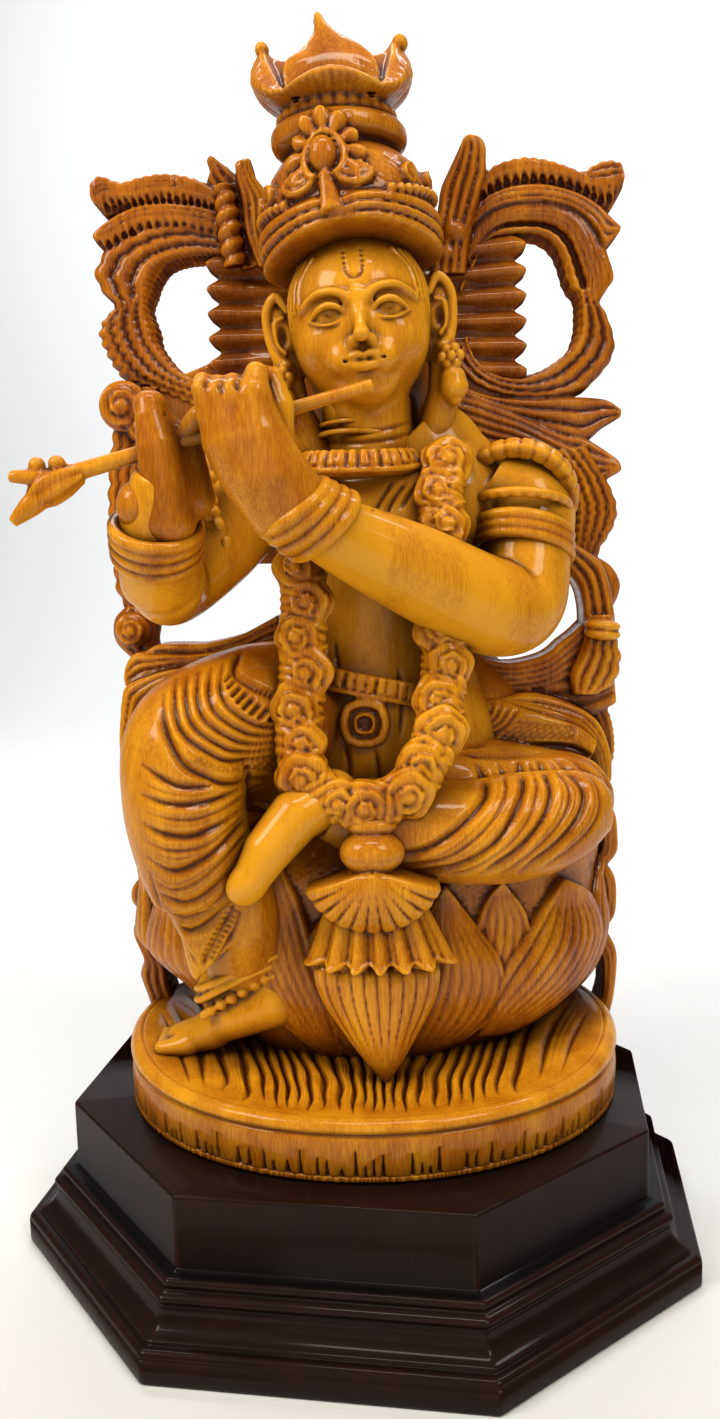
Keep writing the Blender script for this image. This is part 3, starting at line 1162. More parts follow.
# The right armlet is seen from its edge, so it is a thick strap with a row of beads on one side.
armlet = smooth_rows(
    [(-46.5, -17, 220), (-50, -19, 213), (-49.5, -21, 206), (-47.5, -23, 199), (-44, -24, 190)], 60)


def armlet_nicks(mm, angle):
    return -0.7 * teeth(mm, 5.0) * (np.sin(angle) > 0.2)


armlet_keys = [[x, y, z, 4.0, 5.0] for x, y, z in armlet[::15]]
jewel_solids.append(sweep(armlet_keys, round_section(armlet_nicks, around=40)))
for k in range(5, 58, 8):
    x, y, z = armlet[k]
    jewel_solids.append(egg((x + 3.2, y - 3.6, z - 0.4), (1.9, 1.9, 2.2)))
collar_tabs = [[1 + 20.5 * math.sin(t), 0 - 22 * math.cos(t), 219.5 - 2.6 * math.cos(t), 4.0, 2.6]
               for t in np.linspace(-1.9, 1.9, 16)]


def tabbed(mm, v):
    """Square tabs with narrow gaps, under a plain bead."""
    gap = (np.mod(mm / 3.4, 1) > 0.74) & (v < 0.45)
    return -1.5 * gap - 0.9 * (np.abs(v - 0.5) < 0.09) - 0.8 * np.abs(v) ** 4


jewel_solids.append(sweep(collar_tabs, band_section(tabbed, across=25), face=(0, -1, 0.25)))
jewel_solids.append(hoop(np.array([1.5, 1.5, 226.0]), (0.05, 0.12, 1), 15.6, 1.1))
jewel_solids.append(hoop(np.array([1.5, 1.5, 229.5]), (0.05, 0.12, 1), 15.0, 0.9))
waist = [[x, -23.5 + 0.012 * x * x, 147.6 - 0.22 * (x + 10), 3.8, 3.0] for x in np.linspace(-24, 26, 12)]
jewel_solids.append(sweep(waist, band_section(tabbed, across=25)))


def buckle_rings(r, angle):
    """A raised ring round a raised knob with a sunk middle."""
    return 1.4 + 1.5 * (np.abs(r - 0.78) < 0.14) + 1.6 * (r < 0.42) - 1.2 * (r < 0.3)


def nearly_square(angle):
    return 1.0 / np.maximum(np.abs(np.cos(angle)), np.abs(np.sin(angle))) ** 0.25


jewel_solids.append(disc(np.array([0.5, -23.5, 133.0]), FRONT, 8.6, buckle_rings, 4.0, nearly_square))
skin_cuts = CutMap()
for line in (
    [(5, 200), (8, 206), (12, 212)], [(9, 200), (12, 206), (16, 211)], [(14, 202), (17, 207), (21, 211)],
    [(-9, 160), (-8, 150), (-8, 140)], [(12, 150), (13, 140), (12, 128)], [(-6, 128), (-5, 118), (-7, 108)],
    [(4, 124), (5, 114), (4, 106)]):
    skin_cuts.line(line, 1.3, 1.2)
place_fused("torso_and_arms", body_solids, soften=1, finish=skin_cuts.carve)
place_fused("hands", hand_solids, FINE_VOXEL)
place_fused("bracelets_and_armlets", jewel_solids, FINE_VOXEL)

# %% [markdown]
# The garland
# A string of roses hangs from both shoulders to the lap. Each rose is a button with a coiled groove and a
# ring of small petals. The roses lie along one path, close together, with small leaves between them.

# %% Garland
GARLAND = [
    [-18, -29, 190], [-18, -33, 168], [-19, -37, 146], [-20, -42, 126], [-13, -46, 114], [0, -47, 110],
    [13, -46, 114], [22, -41, 127], [26, -32, 146], [27, -28, 166], [26, -26, 184], [27, -20, 202],
    [28, -13, 220]]
ROSE_PITCH = 11.3


def rose_relief(r, angle):
    """Petals wound round a bud: each stands up to its outer edge, and a dark cut follows it."""
    wind = np.mod(2.2 * r - angle / FULL, 1)
    petal_edge = wind ** 1.3 * (0.75 + 0.25 * np.cos(3 * angle + 5 * r))
    knob = 1.5 * np.sqrt(np.clip(1 - (r / 0.25) ** 2, 0, 1))
    return 3.4 * (1 - r ** 3) + 2.1 * petal_edge * soft_step(r, 0.16, 0.3) + knob - 0.6


def five_lobed(angle):
    return 1 + 0.04 * np.cos(5 * angle)


def roses_along(path, pitch, radius):
    """Roses close together along a path, set left and right by turns."""
    rows = smooth_rows(path, 400)
    mm = run_length(rows)
    stops = np.arange(pitch / 2, mm[-1], pitch)
    middle = rows.mean(0) * [1, 0, 1] + [0, 20, 0]
    solids = []
    for k, stop in enumerate(stops):
        place = np.array([np.interp(stop, mm, rows[:, axis]) for axis in range(3)])
        out = unit(place - middle) * 0.5 + FRONT
        side = 1.6 if k % 2 else -1.6
        own_radius = radius + 0.7 * math.sin(2.4 * k)
        solids.append(disc(place + [side, 0, 0], out, own_radius, rose_relief, 5.0, five_lobed, 1.9 * k))
    return solids


def leaf_relief(mm, v):
    """A leaf with a sunk midrib and edges that fall away."""
    return 1.1 * (np.abs(v) - 1) * np.abs(v) * 3 - np.abs(v) ** 3


def rope_lobes(mm, angle):
    return 0.8 * scallops(mm + 2 * np.cos(angle), 2.8)


def leaves_along(path, pitch, reach):
    """Pointed leaves that look out from under the roses on both sides."""
    rows = smooth_rows(path, 400)
    mm = run_length(rows)
    solids = []
    for k, stop in enumerate(np.arange(pitch, mm[-1] - 2, pitch)):
        place = np.array([np.interp(stop, mm, rows[:, axis]) for axis in range(3)])
        ahead = np.array([np.interp(stop + 2, mm, rows[:, axis]) for axis in range(3)])
        across = unit(np.cross(ahead - place, FRONT))
        for side in (-1, 1):
            tip = place + side * (reach + 1.5) * across + 3 * unit(ahead - place) * (1 if k % 2 else -1)
            keys = [
                [*(place + [0, 1.5, 0]), 1.5, 1.6], [*(0.45 * place + 0.55 * tip - [0, 0.8, 0]), 4.2, 2.0],
                [*(tip + [0, 2.5, 0]), 0.6, 0.8]]
            solids.append(sweep(keys, band_section(leaf_relief, across=21)))
    return solids


garland_rope = sweep([[x, y + 2.5, z, 6.8, 5.0] for x, y, z in GARLAND],
                     round_section(rope_lobes, around=40))
garland_roses = roses_along(GARLAND, ROSE_PITCH, 8.2)
garland_solids = [garland_rope] + garland_roses + leaves_along(GARLAND, ROSE_PITCH, 6.6)
place_fused("garland", garland_solids, FINEST_VOXEL)

# %% [markdown]
# The head
# The face is this maker's own: calm, with the eyes at half height, and brow, foot of the nose and chin a
# third of the face apart. It is wax, upright about the head's middle, and then leant over with the crown.

# %% Head
HEAD_LEAN = math.radians(5.5)
HEAD_MIDDLE = np.array([2.5, -3.0, 258.0])


def lean_head(points, quads=None):
    """Lean the head over, as a finish too. The top of the crown is shifted with it, but stays level."""
    c, s = math.cos(HEAD_LEAN), math.sin(HEAD_LEAN)
    x, y, z = points[..., 0], points[..., 1], points[..., 2]
    tip = s * x * (1 - 0.75 * soft_step(z, 46, 62))
    return np.stack([c * x - s * z, y, tip + c * z], -1) + HEAD_MIDDLE


wax = Wax((-37, -36, -46), (37, 32, 40), 0.45)
wax.egg((0, 1, 9), (24, 25.5, 26))
wax.egg((0, -5.5, -3.5), (20.0, 19.2, 18.6), 7)
wax.egg((0, -16.8, -17.4), (7.2, 6.0, 5.0), 6)
wax.both_sides(wax.egg, ((11.5, -13.2, -3.5), (8.4, 9.2, 8.6)), 5)
wax.rod([[0, 0, -18, 13], [0, 4, -46, 13.5]], 4)
wax.both_sides(wax.egg, ((9.8, -29.4, 5.2), (6.4, 5.6, 4.0)), 2.8, lean=-0.06, cut=True)
wax.both_sides(
    wax.rod,
    ease([[2.6, -24.4, 8.6, 1.0], [7, -24.8, 11.0, 1.3], [13, -21.8, 11.4, 1.2], [18.5, -16.0, 8.6, 0.7]]),
    2.0)
wax.both_sides(wax.egg, ((9.7, -18.2, 4.6), (5.4, 6.1, 4.2)), 0.9)
wax.rod(
    ease([[0, -24.0, 9.6, 1.5], [0, -25.2, 5, 1.5], [0, -27.4, -0.4, 1.8], [0, -28.6, -2.8, 2.0]], 8), 2.6)
wax.egg((0, -28.9, -3.4), (2.4, 2.4, 2.1), 1.4)
wax.both_sides(wax.egg, ((2.8, -26.2, -4.4), (1.7, 2.4, 1.6)), 1.0)
wax.both_sides(wax.egg, ((1.5, -27.8, -5.9), (0.8, 1.3, 0.7)), 0.5, cut=True)
upper_lid = [[4.3, -23.5, 4.0, 0.5], [6.2, -24.9, 6.2, 0.9], [9.4, -25.5, 7.0, 1.1], [12.6, -24.2, 6.2, 0.9],
             [15.8, -20.6, 3.9, 0.5]]
wax.both_sides(wax.rod, ease(upper_lid), 0.5)
wax.both_sides(wax.rod, ease([[x, y + 0.5, z + 2.2, 0.45] for x, y, z, r in upper_lid]), 0.7, cut=True)
wax.both_sides(wax.rod, ease([[4.3, -23.5, 3.8, 0.4], [7.0, -24.5, 2.0, 0.5], [10.0, -24.6, 1.4, 0.55],
                              [13.0, -23.0, 2.2, 0.5], [15.8, -20.6, 3.8, 0.4]]), 0.5)
wax.both_sides(wax.egg, ((5.2, -22.8, -9.6), (5.0, 3.2, 4.0)), 4)
wax.both_sides(wax.rod, ease([[0, -25.9, -9.2, 0.8], [1.8, -26.4, -8.6, 1.05], [4.4, -25.2, -9.4, 0.85],
                              [7.4, -22.6, -10.0, 0.4]], 10), 0.9)
wax.both_sides(
    wax.rod, ease([[0, -25.6, -12.4, 1.35], [2.8, -25.2, -12.1, 1.25], [6.4, -22.9, -10.6, 0.5]], 10), 0.9)
wax.both_sides(wax.rod, ease([[0, -28.3, -10.7, 0.5], [3.2, -27.6, -10.5, 0.5], [6.6, -25.0, -10.3, 0.5],
                              [8.4, -22.8, -9.6, 0.55]], 10), 0.5, cut=True)
wax.egg((0, -27.4, -7.2), (0.8, 1.3, 1.3), 0.8, cut=True)
# Ears with a rolled rim, hair in front of them, and a flower and a bell hung from each.
wax.both_sides(wax.egg, ((26.6, -1.6, 5.5), (4.9, 4.0, 12.2)), 1.2)
wax.both_sides(
    wax.rod,
    ease([[23.4, -5.4, 12, 1.3], [26.6, -5.4, 16.4, 1.6], [30.2, -4.6, 12, 1.6], [30.4, -4.2, 4, 1.5],
        [28.4, -5.0, -3, 1.8], [26.0, -5.6, -6, 2.1]], 20), 0.7)
wax.both_sides(
    wax.rod,
    ease([[25.0, -5.6, 9.6, 0.8], [27.8, -5.4, 8, 0.9], [27.6, -5.4, 2, 0.9], [25.6, -5.6, -1.6, 0.9]]), 0.5)
wax.both_sides(wax.egg, ((25.6, -5.8, 3.6), (1.6, 2.2, 3.6)), 0.8, cut=True)


def on_head(y, z):
    """How far out the side of the head is."""
    return 24 * math.sqrt(max(0.05, 1 - ((y - 1) / 25.5) ** 2 - ((z - 9) / 26) ** 2))


for k in range(4):
    y = -7.5 - 2.3 * k
    bends = ((24, 0.5), (17, -0.4), (10, 0.5), (5 + 2 * k, -0.4))
    lock = [[on_head(y - bend, z) - 0.2, y - bend, z, 0.85] for z, bend in bends]
    wax.both_sides(wax.rod, ease(lock, 8), 0.4)
for k in range(6):
    turn = FULL * k / 6
    wax.both_sides(
        wax.egg, ((28 + 2.7 * math.cos(turn), -6.5, -9.5 + 2.7 * math.sin(turn)), (1.9, 2.6, 1.9)), 0.4)
wax.both_sides(wax.egg, ((28, -8.6, -9.5), (1.6, 1.6, 1.6)), 0.3)
wax.both_sides(wax.rod, [[28, -6, -12, 2.4], [28, -6, -16.5, 4.2], [28, -6, -19, 4.8]], 0.5)
wax.both_sides(wax.egg, ((28, -6, -22.6), (2.4, 2.4, 2.6)), 0.4)
wax.both_sides(wax.rod, [[26, -1, -6, 4.5], [25, 0, -20, 5.5], [18, 3, -38, 6]], 2)
head_points, _, head_quads = wax.skin()
head_quads = outward(head_points, head_quads)
MAP_LIFT = np.array([0.0, 0.0, 100.0])
face_cuts = CutMap()
for side in (-1, 1):
    face_cuts.line([(9.5 * side, 104.3), (9.9 * side, 104.3)], 2.2, 1.1, 0.0)
    face_cuts.line([(2.8 * side, 125), (2.8 * side, 118), (1.7 * side, 115.4), (0, 114.8)], 1.0, 0.8, 0.0)
for level in (-31, -34.5):
    face_cuts.line([(-14, level + 103), (-7, level + 101), (0, level + 100.4), (7, level + 101),
                    (14, level + 103)], 1.2, 0.8)
head_points = face_cuts.carve(head_points + MAP_LIFT, head_quads) - MAP_LIFT
place_carving("head", lean_head(head_points), head_quads.tolist(), *CARVED)

# %% Crown
CROWN_ROWS = (
    (23.4, 26.5, 7.0), (24.0, 28.8, 7.0), (25.0, 29.8, 6.8), (26.3, 29.7, 6.4), (27.0, 28.5, 6.2),
    (27.5, 28.2, 6.0), (28.0, 29.8, 5.9), (29.3, 30.6, 5.6), (30.4, 30.2, 5.2), (31.0, 28.6, 4.8),
    (31.7, 28.5, 4.5), (32.6, 30.0, 4.1), (34.8, 30.2, 3.4), (36.4, 29.0, 2.6), (37.6, 28.2, 2),
    (45, 26.4, 1), (52, 23.6, 0), (57, 19.2, 0), (59, 16.5, 0), (59.6, 19.8, 0), (61.4, 21.8, 0),
    (64, 22.2, 0), (66.4, 21.4, 0), (67.6, 18.6, 0), (68.6, 19.6, 0), (70.2, 19.6, 0), (71.4, 16.8, 0),
    (75.0, 16.0, 0), (76, 2, 0))


def crown_stack():
    keys = np.array(CROWN_ROWS, float)
    rows = []
    for low, high in zip(keys[:-1], keys[1:]):
        count = max(2, int(np.hypot(*(high - low)[:2]) / 0.5))
        rows += [low + (high - low) * k / count for k in range(count)]
    rows = np.array(rows)[:, :, None]
    angle = np.linspace(-math.pi, math.pi, 520, endpoint=False)[None]
    z, radius, peak = rows[:, 0], rows[:, 1], rows[:, 2]
    ring_lobes = 0.8 * (scallops(angle, FULL / 30) - 0.5) * ((z > 68.4) & (z < 71.4))
    ring_lines = 0.35 * scallops(z, 2.2) * ((z > 60.6) & (z < 67.4))
    rays = 0.5 * scallops(angle * 24 + 1.1 * z, 3.0) * soft_step(z, 38.5, 40) * (1 - soft_step(z, 55, 58))
    dip = -1.4 * np.exp(-(((angle + 0.08) / 0.16) ** 2)) * ((z > 25.8) & (z < 37))
    reach = radius + ring_lobes + ring_lines + rays
    rise = peak * np.maximum(0, np.cos(0.92 * angle)) ** 2 + dip
    return loft(np.stack([reach * np.sin(angle), 1 - 0.97 * reach * np.cos(angle), z + rise], -1))


def finial_cup():
    """The flower on top: a low petal curls out in front, and taller ones close in at the sides and back."""
    angle = np.linspace(-math.pi, math.pi, 520, endpoint=False)[None]
    turn = np.degrees(np.abs(angle))
    top = np.interp(turn, [0, 14, 28, 38, 50, 70, 84, 90, 97, 118, 180],
                    [76.8, 76.0, 74.2, 72.8, 76, 85.5, 91, 93, 91, 90, 90])
    neck = 72.0 - 2.5 * np.maximum(0, np.cos(angle))
    side = soft_step(turn, 34, 58)
    share = np.linspace(0, 1, 60)[:, None]
    tall = np.interp(share, [0, 0.15, 0.33, 0.53, 0.72, 0.85, 1], [0, 0.4, 0.8, 1, 0.94, 0.78, 0.62])
    flare = side * tall + (1 - side) * np.interp(share, [0, 0.3, 0.6, 0.85, 1], [0, 0.4, 0.75, 0.95, 0.93])
    ribs = 0.6 * scallops(angle, FULL / 60) * soft_step(share, 0.05, 0.2)
    ribs = ribs * (1 - soft_step(share, 0.86, 0.95))
    reach = 16.8 + 9.2 * flare + ribs
    z = neck + (top - neck) * share
    for inward, rise in ((0.7, 0.7), (1.8, 0.6), (2.6, -0.6), (4.5, -2.5), (12, -4), (20, -4)):
        reach = np.vstack([reach, np.maximum(reach[59:60] - inward, 1)])
        z = np.vstack([z, z[59:60] + rise])
    return loft(np.stack([reach * np.sin(angle), 1 - 0.97 * reach * np.cos(angle), z], -1))


def on_crown(angle, z, push=0.0):
    radius = np.interp(z, [33, 45, 52, 57, 62, 66], [30, 27, 24.2, 21.5, 22, 22]) + push
    return np.array([radius * math.sin(angle), 1 - 0.97 * radius * math.cos(angle), z])


def scroll(r, angle):
    """A curled lobe: a rim that winds in to a small eye."""
    wind = np.mod(1.5 * r - angle / FULL, 1)
    return 1.0 + 1.2 * np.sqrt(wind) * (1 - wind) * 2.2 + 1.0 * np.clip(1 - r / 0.25, 0, 1)


JEWEL_ANGLE, JEWEL_LEVEL = -0.2, 51.5
crown_solids = [crown_stack(), finial_cup(), egg(on_crown(JEWEL_ANGLE, JEWEL_LEVEL, 1.5), (4.3, 3.2, 5.6))]
shoe = [[*on_crown(JEWEL_ANGLE + 0.25 * math.sin(a), JEWEL_LEVEL - 0.3 + 7.6 * math.cos(a), 1.2), 1.3, 1.8]
        for a in np.linspace(-2.7, 2.7, 16)]
crown_solids.append(sweep(shoe, round_section(around=16)))
# Fat petals stand out all round the jewel, like the ribs of a shell.
for a in np.linspace(-2.15, 2.15, 9):
    petal_keys = []
    for reach, wide in ((7.6, 1.5), (9.8, 2.4), (12.2, 2.6), (13.8, 1.3)):
        bend = a * (1 + 0.012 * (reach - 7.6))
        spot = on_crown(
            JEWEL_ANGLE + 0.037 * reach * math.sin(bend), JEWEL_LEVEL + 1 + reach * math.cos(bend), 0.7)
        petal_keys.append([*spot, wide, 1.9])
    crown_solids.append(sweep(petal_keys, round_section(around=20)))
# Two nested cups hang beside the stem under the jewel.
for side in (-1, 1):
    for step in range(3):
        bow = [[*on_crown(JEWEL_ANGLE + side * 0.33 + 0.2 * math.sin(a) * (1 - 0.28 * step),
                          41.6 + 2.4 * step + 4.2 * (1 - math.cos(a)) * (1 - 0.3 * step), 0.9), 1.15, 1.6]
               for a in np.linspace(-1.45, 1.45, 9)]
        crown_solids.append(sweep(bow, round_section(around=12)))
crown_solids.append(sweep(
    [[*on_crown(JEWEL_ANGLE, 46, 0.6), 1.9, 1.6], [*on_crown(JEWEL_ANGLE + 0.03, 40, 0.6), 2.6, 1.6],
        [*on_crown(JEWEL_ANGLE + 0.05, 34, 0.8), 3.4, 1.6]], round_section(around=16)))
for k in range(14):
    for side in (-1, 1):
        turn = side * (0.62 + 0.115 * k) + 0.5 * JEWEL_ANGLE
        crown_solids.append(egg(on_crown(turn, 39.5 + 0.2 * k, 0.6), (1.6, 1.6, 1.6)))
        if k in (3, 7):
            crown_solids.append(disc(
                on_crown(turn, 45.5, 0.0), on_crown(turn, 45.5, 0.0) * [1, 1, 0], 3.4, scroll, 3))


# The finial: a pointed leaf in the middle of the cup and a knob on every tip.
def finial_leaf(mm, v):
    """A smooth swollen leaf with a cut on each side of its crest, and short cuts that lean to its edges."""
    lean = np.clip(1 - np.abs(np.mod((mm + 9 * np.abs(v)) / 5.0, 1) - 0.5) / 0.1, 0, 1)
    beside_crest = 0.9 * (np.abs(np.abs(v) - 0.15) < 0.04) * (mm > 14)
    return 2.0 * (1 - v * v) - 0.5 * lean * (np.abs(v) > 0.5) - beside_crest


leaf_keys = [[0, -5, 75, 15, 8], [0, -5, 80.5, 15, 7], [0, -5, 85, 13.6, 5.5], [-0.1, -5, 88, 10.5, 4],
             [-0.4, -4.8, 90.8, 6.6, 2.6], [-0.8, -4, 93.8, 3.7, 1.9], [-1.4, -2.5, 97, 2.1, 1.7],
             [-2, -1, 100.3, 1.5, 1.5]]
crown_solids.append(sweep(leaf_keys, band_section(finial_leaf, across=61)))
for x, y, z, size in ((-2, -0.8, 99.6, 1.9), (-21.4, 1, 93.2, 2.4), (23.4, 1, 92.6, 2.6)):
    crown_solids.append(egg((x, y, z), (size, size, size * 1.1)))
place_fused("crown", crown_solids, FINE_VOXEL, finish=lean_head)

# %% [markdown]
# The pierced arch
# Behind the figure the block is pierced into straps of leaves that loop away from the head and down both
# sides. Each strap is a loft between its two edge lines, with ridges on its face and a saw or a scallop cut
# in its edges. The backs are left plain, as the carver leaves them.

# %% Leaf bands
def even_rows(keys, count):
    """Rows at even distances along a smooth line."""
    fine = smooth_rows(keys, 400)
    mm = run_length(fine)
    return np.stack([np.interp(np.linspace(0, mm[-1], count), mm, column) for column in fine.T], 1)


ACROSS_BAND = 61  # points across a band's face
TOOTH_DEPTH = 2.6


def leaf_band(first, second, front, middle=35.0, half=8.0, lobes=(0, 5), notches=(0, 5)):
    """A band between two edge lines of x and z. The first edge is lobed, and the second is notched."""
    length = run_length(smooth_rows(first, 200))[-1]
    count = max(12, int(length / CUTTING_STEP))
    first, second = even_rows(first, count), even_rows(second, count)
    wide = np.linalg.norm(second - first, axis=1)[:, None] + 0.1
    mm = np.linspace(0, length, count)[:, None]
    v = np.linspace(-1, 1, ACROSS_BAND)[None]
    outer = lobes[0] * (1 - scallops(mm, lobes[1])) / wide
    inner = notches[0] * (1 - teeth(mm, notches[1])) / wide
    place = outer + (1 - outer - inner) * (v + 1) / 2
    spots = first[:, None] + (second - first)[:, None] * place[..., None]
    face = np.stack([spots[..., 0], middle - half - front(mm, v), spots[..., 1]], -1)
    back = face[:, ::-12].copy()
    back[..., 1] = middle + half
    return loft(np.concatenate([face, back], 1))


def grooved(count, height, roll):
    """Round ridges side by side, on a face that falls off to both edges."""
    def front(mm, v):
        return height * (reeds(v + 0.05 * np.sin(mm / 7), count) - 1) - roll * np.abs(v) ** 3
    return front


def toothed(count, height, start, pitch):
    """Ridges on the upper part of the band, and a row of pointed teeth over a recess below it."""
    def front(mm, v):
        share = np.clip((v - start) / (1 - start), 0, 1)
        ridge = height * (reeds((v + 1) / (start + 1) * 2 - 1, count) - 1) * (v < start)
        recess = TOOTH_DEPTH * soft_step(share - 0.95 * teeth(mm, pitch), -0.06, 0.14)
        return ridge - recess - 1.2 * share - 1.2 * np.clip(-v - 0.6, 0, 1)
    return front


def hooked(mm, v):
    """A broad ridge outside, a deep cut, and a thin rim inside."""
    broad = -3.0 * np.abs(v + 0.3) ** 2 + 0.9 * (reeds(v + 0.06 * np.sin(mm / 6), 8) - 1)
    return np.where(v < 0.3, broad, np.where(v < 0.56, -3.6, -1.4 - 4 * np.abs(v - 0.7))) + 0 * mm


# %% Left side of the arch
left_arch = [
    leaf_band([(-93.6, 316), (-93.7, 321), (-90, 324), (-83, 321.6), (-76, 323), (-68.5, 324), (-61, 323.2),
        (-54, 321), (-49, 317.5), (-42, 311)],
        [(-93, 315), (-89, 311), (-85.6, 311.5), (-82.7, 312.8), (-76, 313), (-69, 313.4), (-62, 313),
        (-55, 312), (-49, 310.4), (-42, 307)], toothed(4, 1.5, 0.1, 2.9), middle=34, lobes=(0.7, 3.6)),
    leaf_band([(-94, 304), (-91, 307), (-87, 309.5), (-82, 312), (-76, 313.5), (-69, 314), (-62, 313.5),
        (-55, 312.5), (-49, 310.6), (-42, 307)],
        [(-93.4, 302), (-90, 299.4), (-86.7, 299.6), (-82, 302.5), (-77, 304.4), (-72, 305), (-66, 305),
        (-60.6, 304.4), (-54, 302.6), (-42, 299)], toothed(3, 1.7, 0.2, 3.3), middle=35),
    leaf_band([(-42, 302), (-54.4, 305.6), (-61, 307.4), (-67, 308), (-76, 307), (-84, 303.4), (-90, 299.6),
        (-93.4, 295), (-94.7, 290.5), (-92.8, 285.7), (-89.4, 281.5), (-86.5, 276)],
        [(-42, 294), (-52, 295.4), (-59, 295.6), (-65, 294.6), (-69, 292.5), (-72, 288.2), (-73.7, 284),
        (-75, 281), (-76, 276)], grooved(3, 2.6, 1.0), middle=36, lobes=(1.2, 8), notches=(0.9, 3.4)),
    leaf_band([(-86, 282), (-89.7, 278), (-93, 274.6), (-94.5, 270), (-93, 265), (-90.6, 260), (-88, 256),
        (-84, 252), (-76, 249.6), (-67, 246), (-56, 241), (-44, 238)],
        [(-76, 282), (-74.4, 276), (-73, 272), (-72.5, 267.4), (-70, 263), (-66, 258), (-61.7, 255),
        (-56, 253.8), (-49, 253.3), (-42, 254)], grooved(4, 2.0, 2.0), middle=36, lobes=(1.6, 4.2),
        notches=(0.8, 4)),
    leaf_band([(-84, 250), (-88, 240), (-91, 228), (-92.5, 215), (-93, 207), (-91.5, 196), (-92, 189),
        (-92, 180), (-90, 174), (-88, 170)],
        [(-74, 250), (-76, 240), (-79, 228), (-81, 215), (-81, 207), (-81.7, 189), (-79.3, 178), (-76, 168)],
        grooved(3, 1.8, 1.5), middle=29, half=7, lobes=(1.2, 7)),
    leaf_band([(-87, 172), (-91.4, 168), (-92.6, 163), (-91.5, 158), (-87, 153), (-84, 149)],
        [(-76, 170), (-77, 163), (-77.7, 159), (-77, 155), (-76, 148)], grooved(3, 1.8, 1.5), middle=27,
        half=7),
    leaf_band([(-49.8, 329.5), (-46, 326.5), (-43.9, 325), (-40, 320.5), (-38, 315), (-36, 308), (-34, 300),
        (-30, 292)], [(-51.8, 327.5), (-51, 324), (-52, 321), (-50.3, 317.5), (-47.6, 313), (-45.3, 309),
        (-43.5, 300), (-41, 290)], grooved(3, 2.2, 1.5), middle=33, half=7),
    leaf_band([(-36, 327), (-34.4, 321), (-31.5, 317), (-29, 313), (-29, 304), (-29, 292)],
        [(-41.5, 325.5), (-41, 320), (-39.5, 313), (-39, 304), (-36.5, 296), (-34, 290)],
        grooved(4, 2.0, 1.0), middle=30, half=7),
    disc(np.array([-84, 20, 243.0]), FRONT, 9, rose_relief, 8),
    disc(np.array([-77, 20, 236.0]), FRONT, 6.5, rose_relief, 8),
    disc(np.array([-85, 20, 163.0]), FRONT, 6.5, rose_relief, 7)]
# The cloth laid over the seat: a notched top edge, and pleats that hang in a fan behind the knee.
left_arch += [
    leaf_band([(-30, 168), (-36.8, 164.4), (-43.2, 161.4), (-50.4, 159.6), (-57.5, 158.4), (-62.8, 158.5),
        (-68, 158.6), (-73.4, 158.4), (-78, 156)],
        [(-30, 158), (-35.5, 157), (-41.7, 154), (-48.8, 152), (-56, 151), (-66.5, 151), (-75.4, 151),
        (-80, 151)], grooved(3, 1.6, 1.0), middle=14, half=8, lobes=(0.7, 1.7)),
    leaf_band([(-50, 155.6), (-60, 154.6), (-68, 154.9), (-75, 155), (-81, 155.4), (-84.3, 151.4),
        (-85.2, 147.5)], [(-50, 149), (-57.5, 149), (-68, 147), (-74, 145), (-79, 143), (-84.6, 144)],
        grooved(4, 1.9, 0.8), middle=11, half=8),
    leaf_band([(-52, 151.6), (-67.7, 149.8), (-76.6, 147.5), (-83.1, 144.5), (-84.8, 139.9), (-85.8, 132.9),
        (-86.4, 124), (-86, 110), (-84, 100)],
        [(-54, 145), (-60, 143), (-65, 139), (-69, 134), (-72, 126), (-74, 116), (-74, 106), (-74, 100)],
        grooved(6, 1.9, 1.2), middle=5, half=9)]
# Leaves climb the side of the seat.
left_arch += [
    leaf_band([(-78, 100), (-80.5, 96.5), (-85.1, 94.7), (-89.1, 89.2), (-88.6, 83.1), (-85.1, 79.2),
        (-78, 74)], [(-72, 98), (-76, 94), (-80.1, 89.7), (-81.8, 85.2), (-80.5, 81.4), (-76, 77.6),
        (-72, 74)], grooved(3, 1.6, 1.5), middle=22, half=8),
    leaf_band([(-79.6, 77.6), (-84.7, 72.3), (-89.1, 67), (-89.4, 61.3), (-84.4, 56.2), (-77.2, 49.5),
        (-66.6, 34.9), (-62, 26)], [(-72, 77.5), (-77.5, 70.7), (-79.5, 66.1), (-78, 61.9), (-73, 56),
        (-67, 47.4), (-61, 31.7), (-56, 26)], grooved(4, 1.7, 1.5), middle=22, half=8),
    leaf_band([(-82.5, 56.2), (-88.7, 53.2), (-90.1, 48.5), (-87.8, 41.5), (-86.9, 37.6), (-88.3, 32.1),
        (-86.1, 24.2), (-84.5, 18)], [(-77, 53.4), (-81, 48.4), (-82, 43.8), (-79.8, 39), (-78.2, 33.9),
        (-77.6, 28), (-76, 22.1), (-75, 18)], grooved(3, 1.7, 1.5), middle=24, half=8)]
TWIST_PITCH = 5.2


def rope_twist(mm, angle):
    """Strands that wind round a rope, one turn in each pitch."""
    return 1.3 * scallops(mm + TWIST_PITCH * angle / FULL, TWIST_PITCH) - 0.7


twisted_rope = [[-42.5, 26, 291, 3.8, 4.0], [-44.2, 25, 304, 4.0, 4.2], [-45.5, 26, 318, 3.2, 3.6]]
left_arch.append(sweep(twisted_rope, round_section(rope_twist, around=40)))

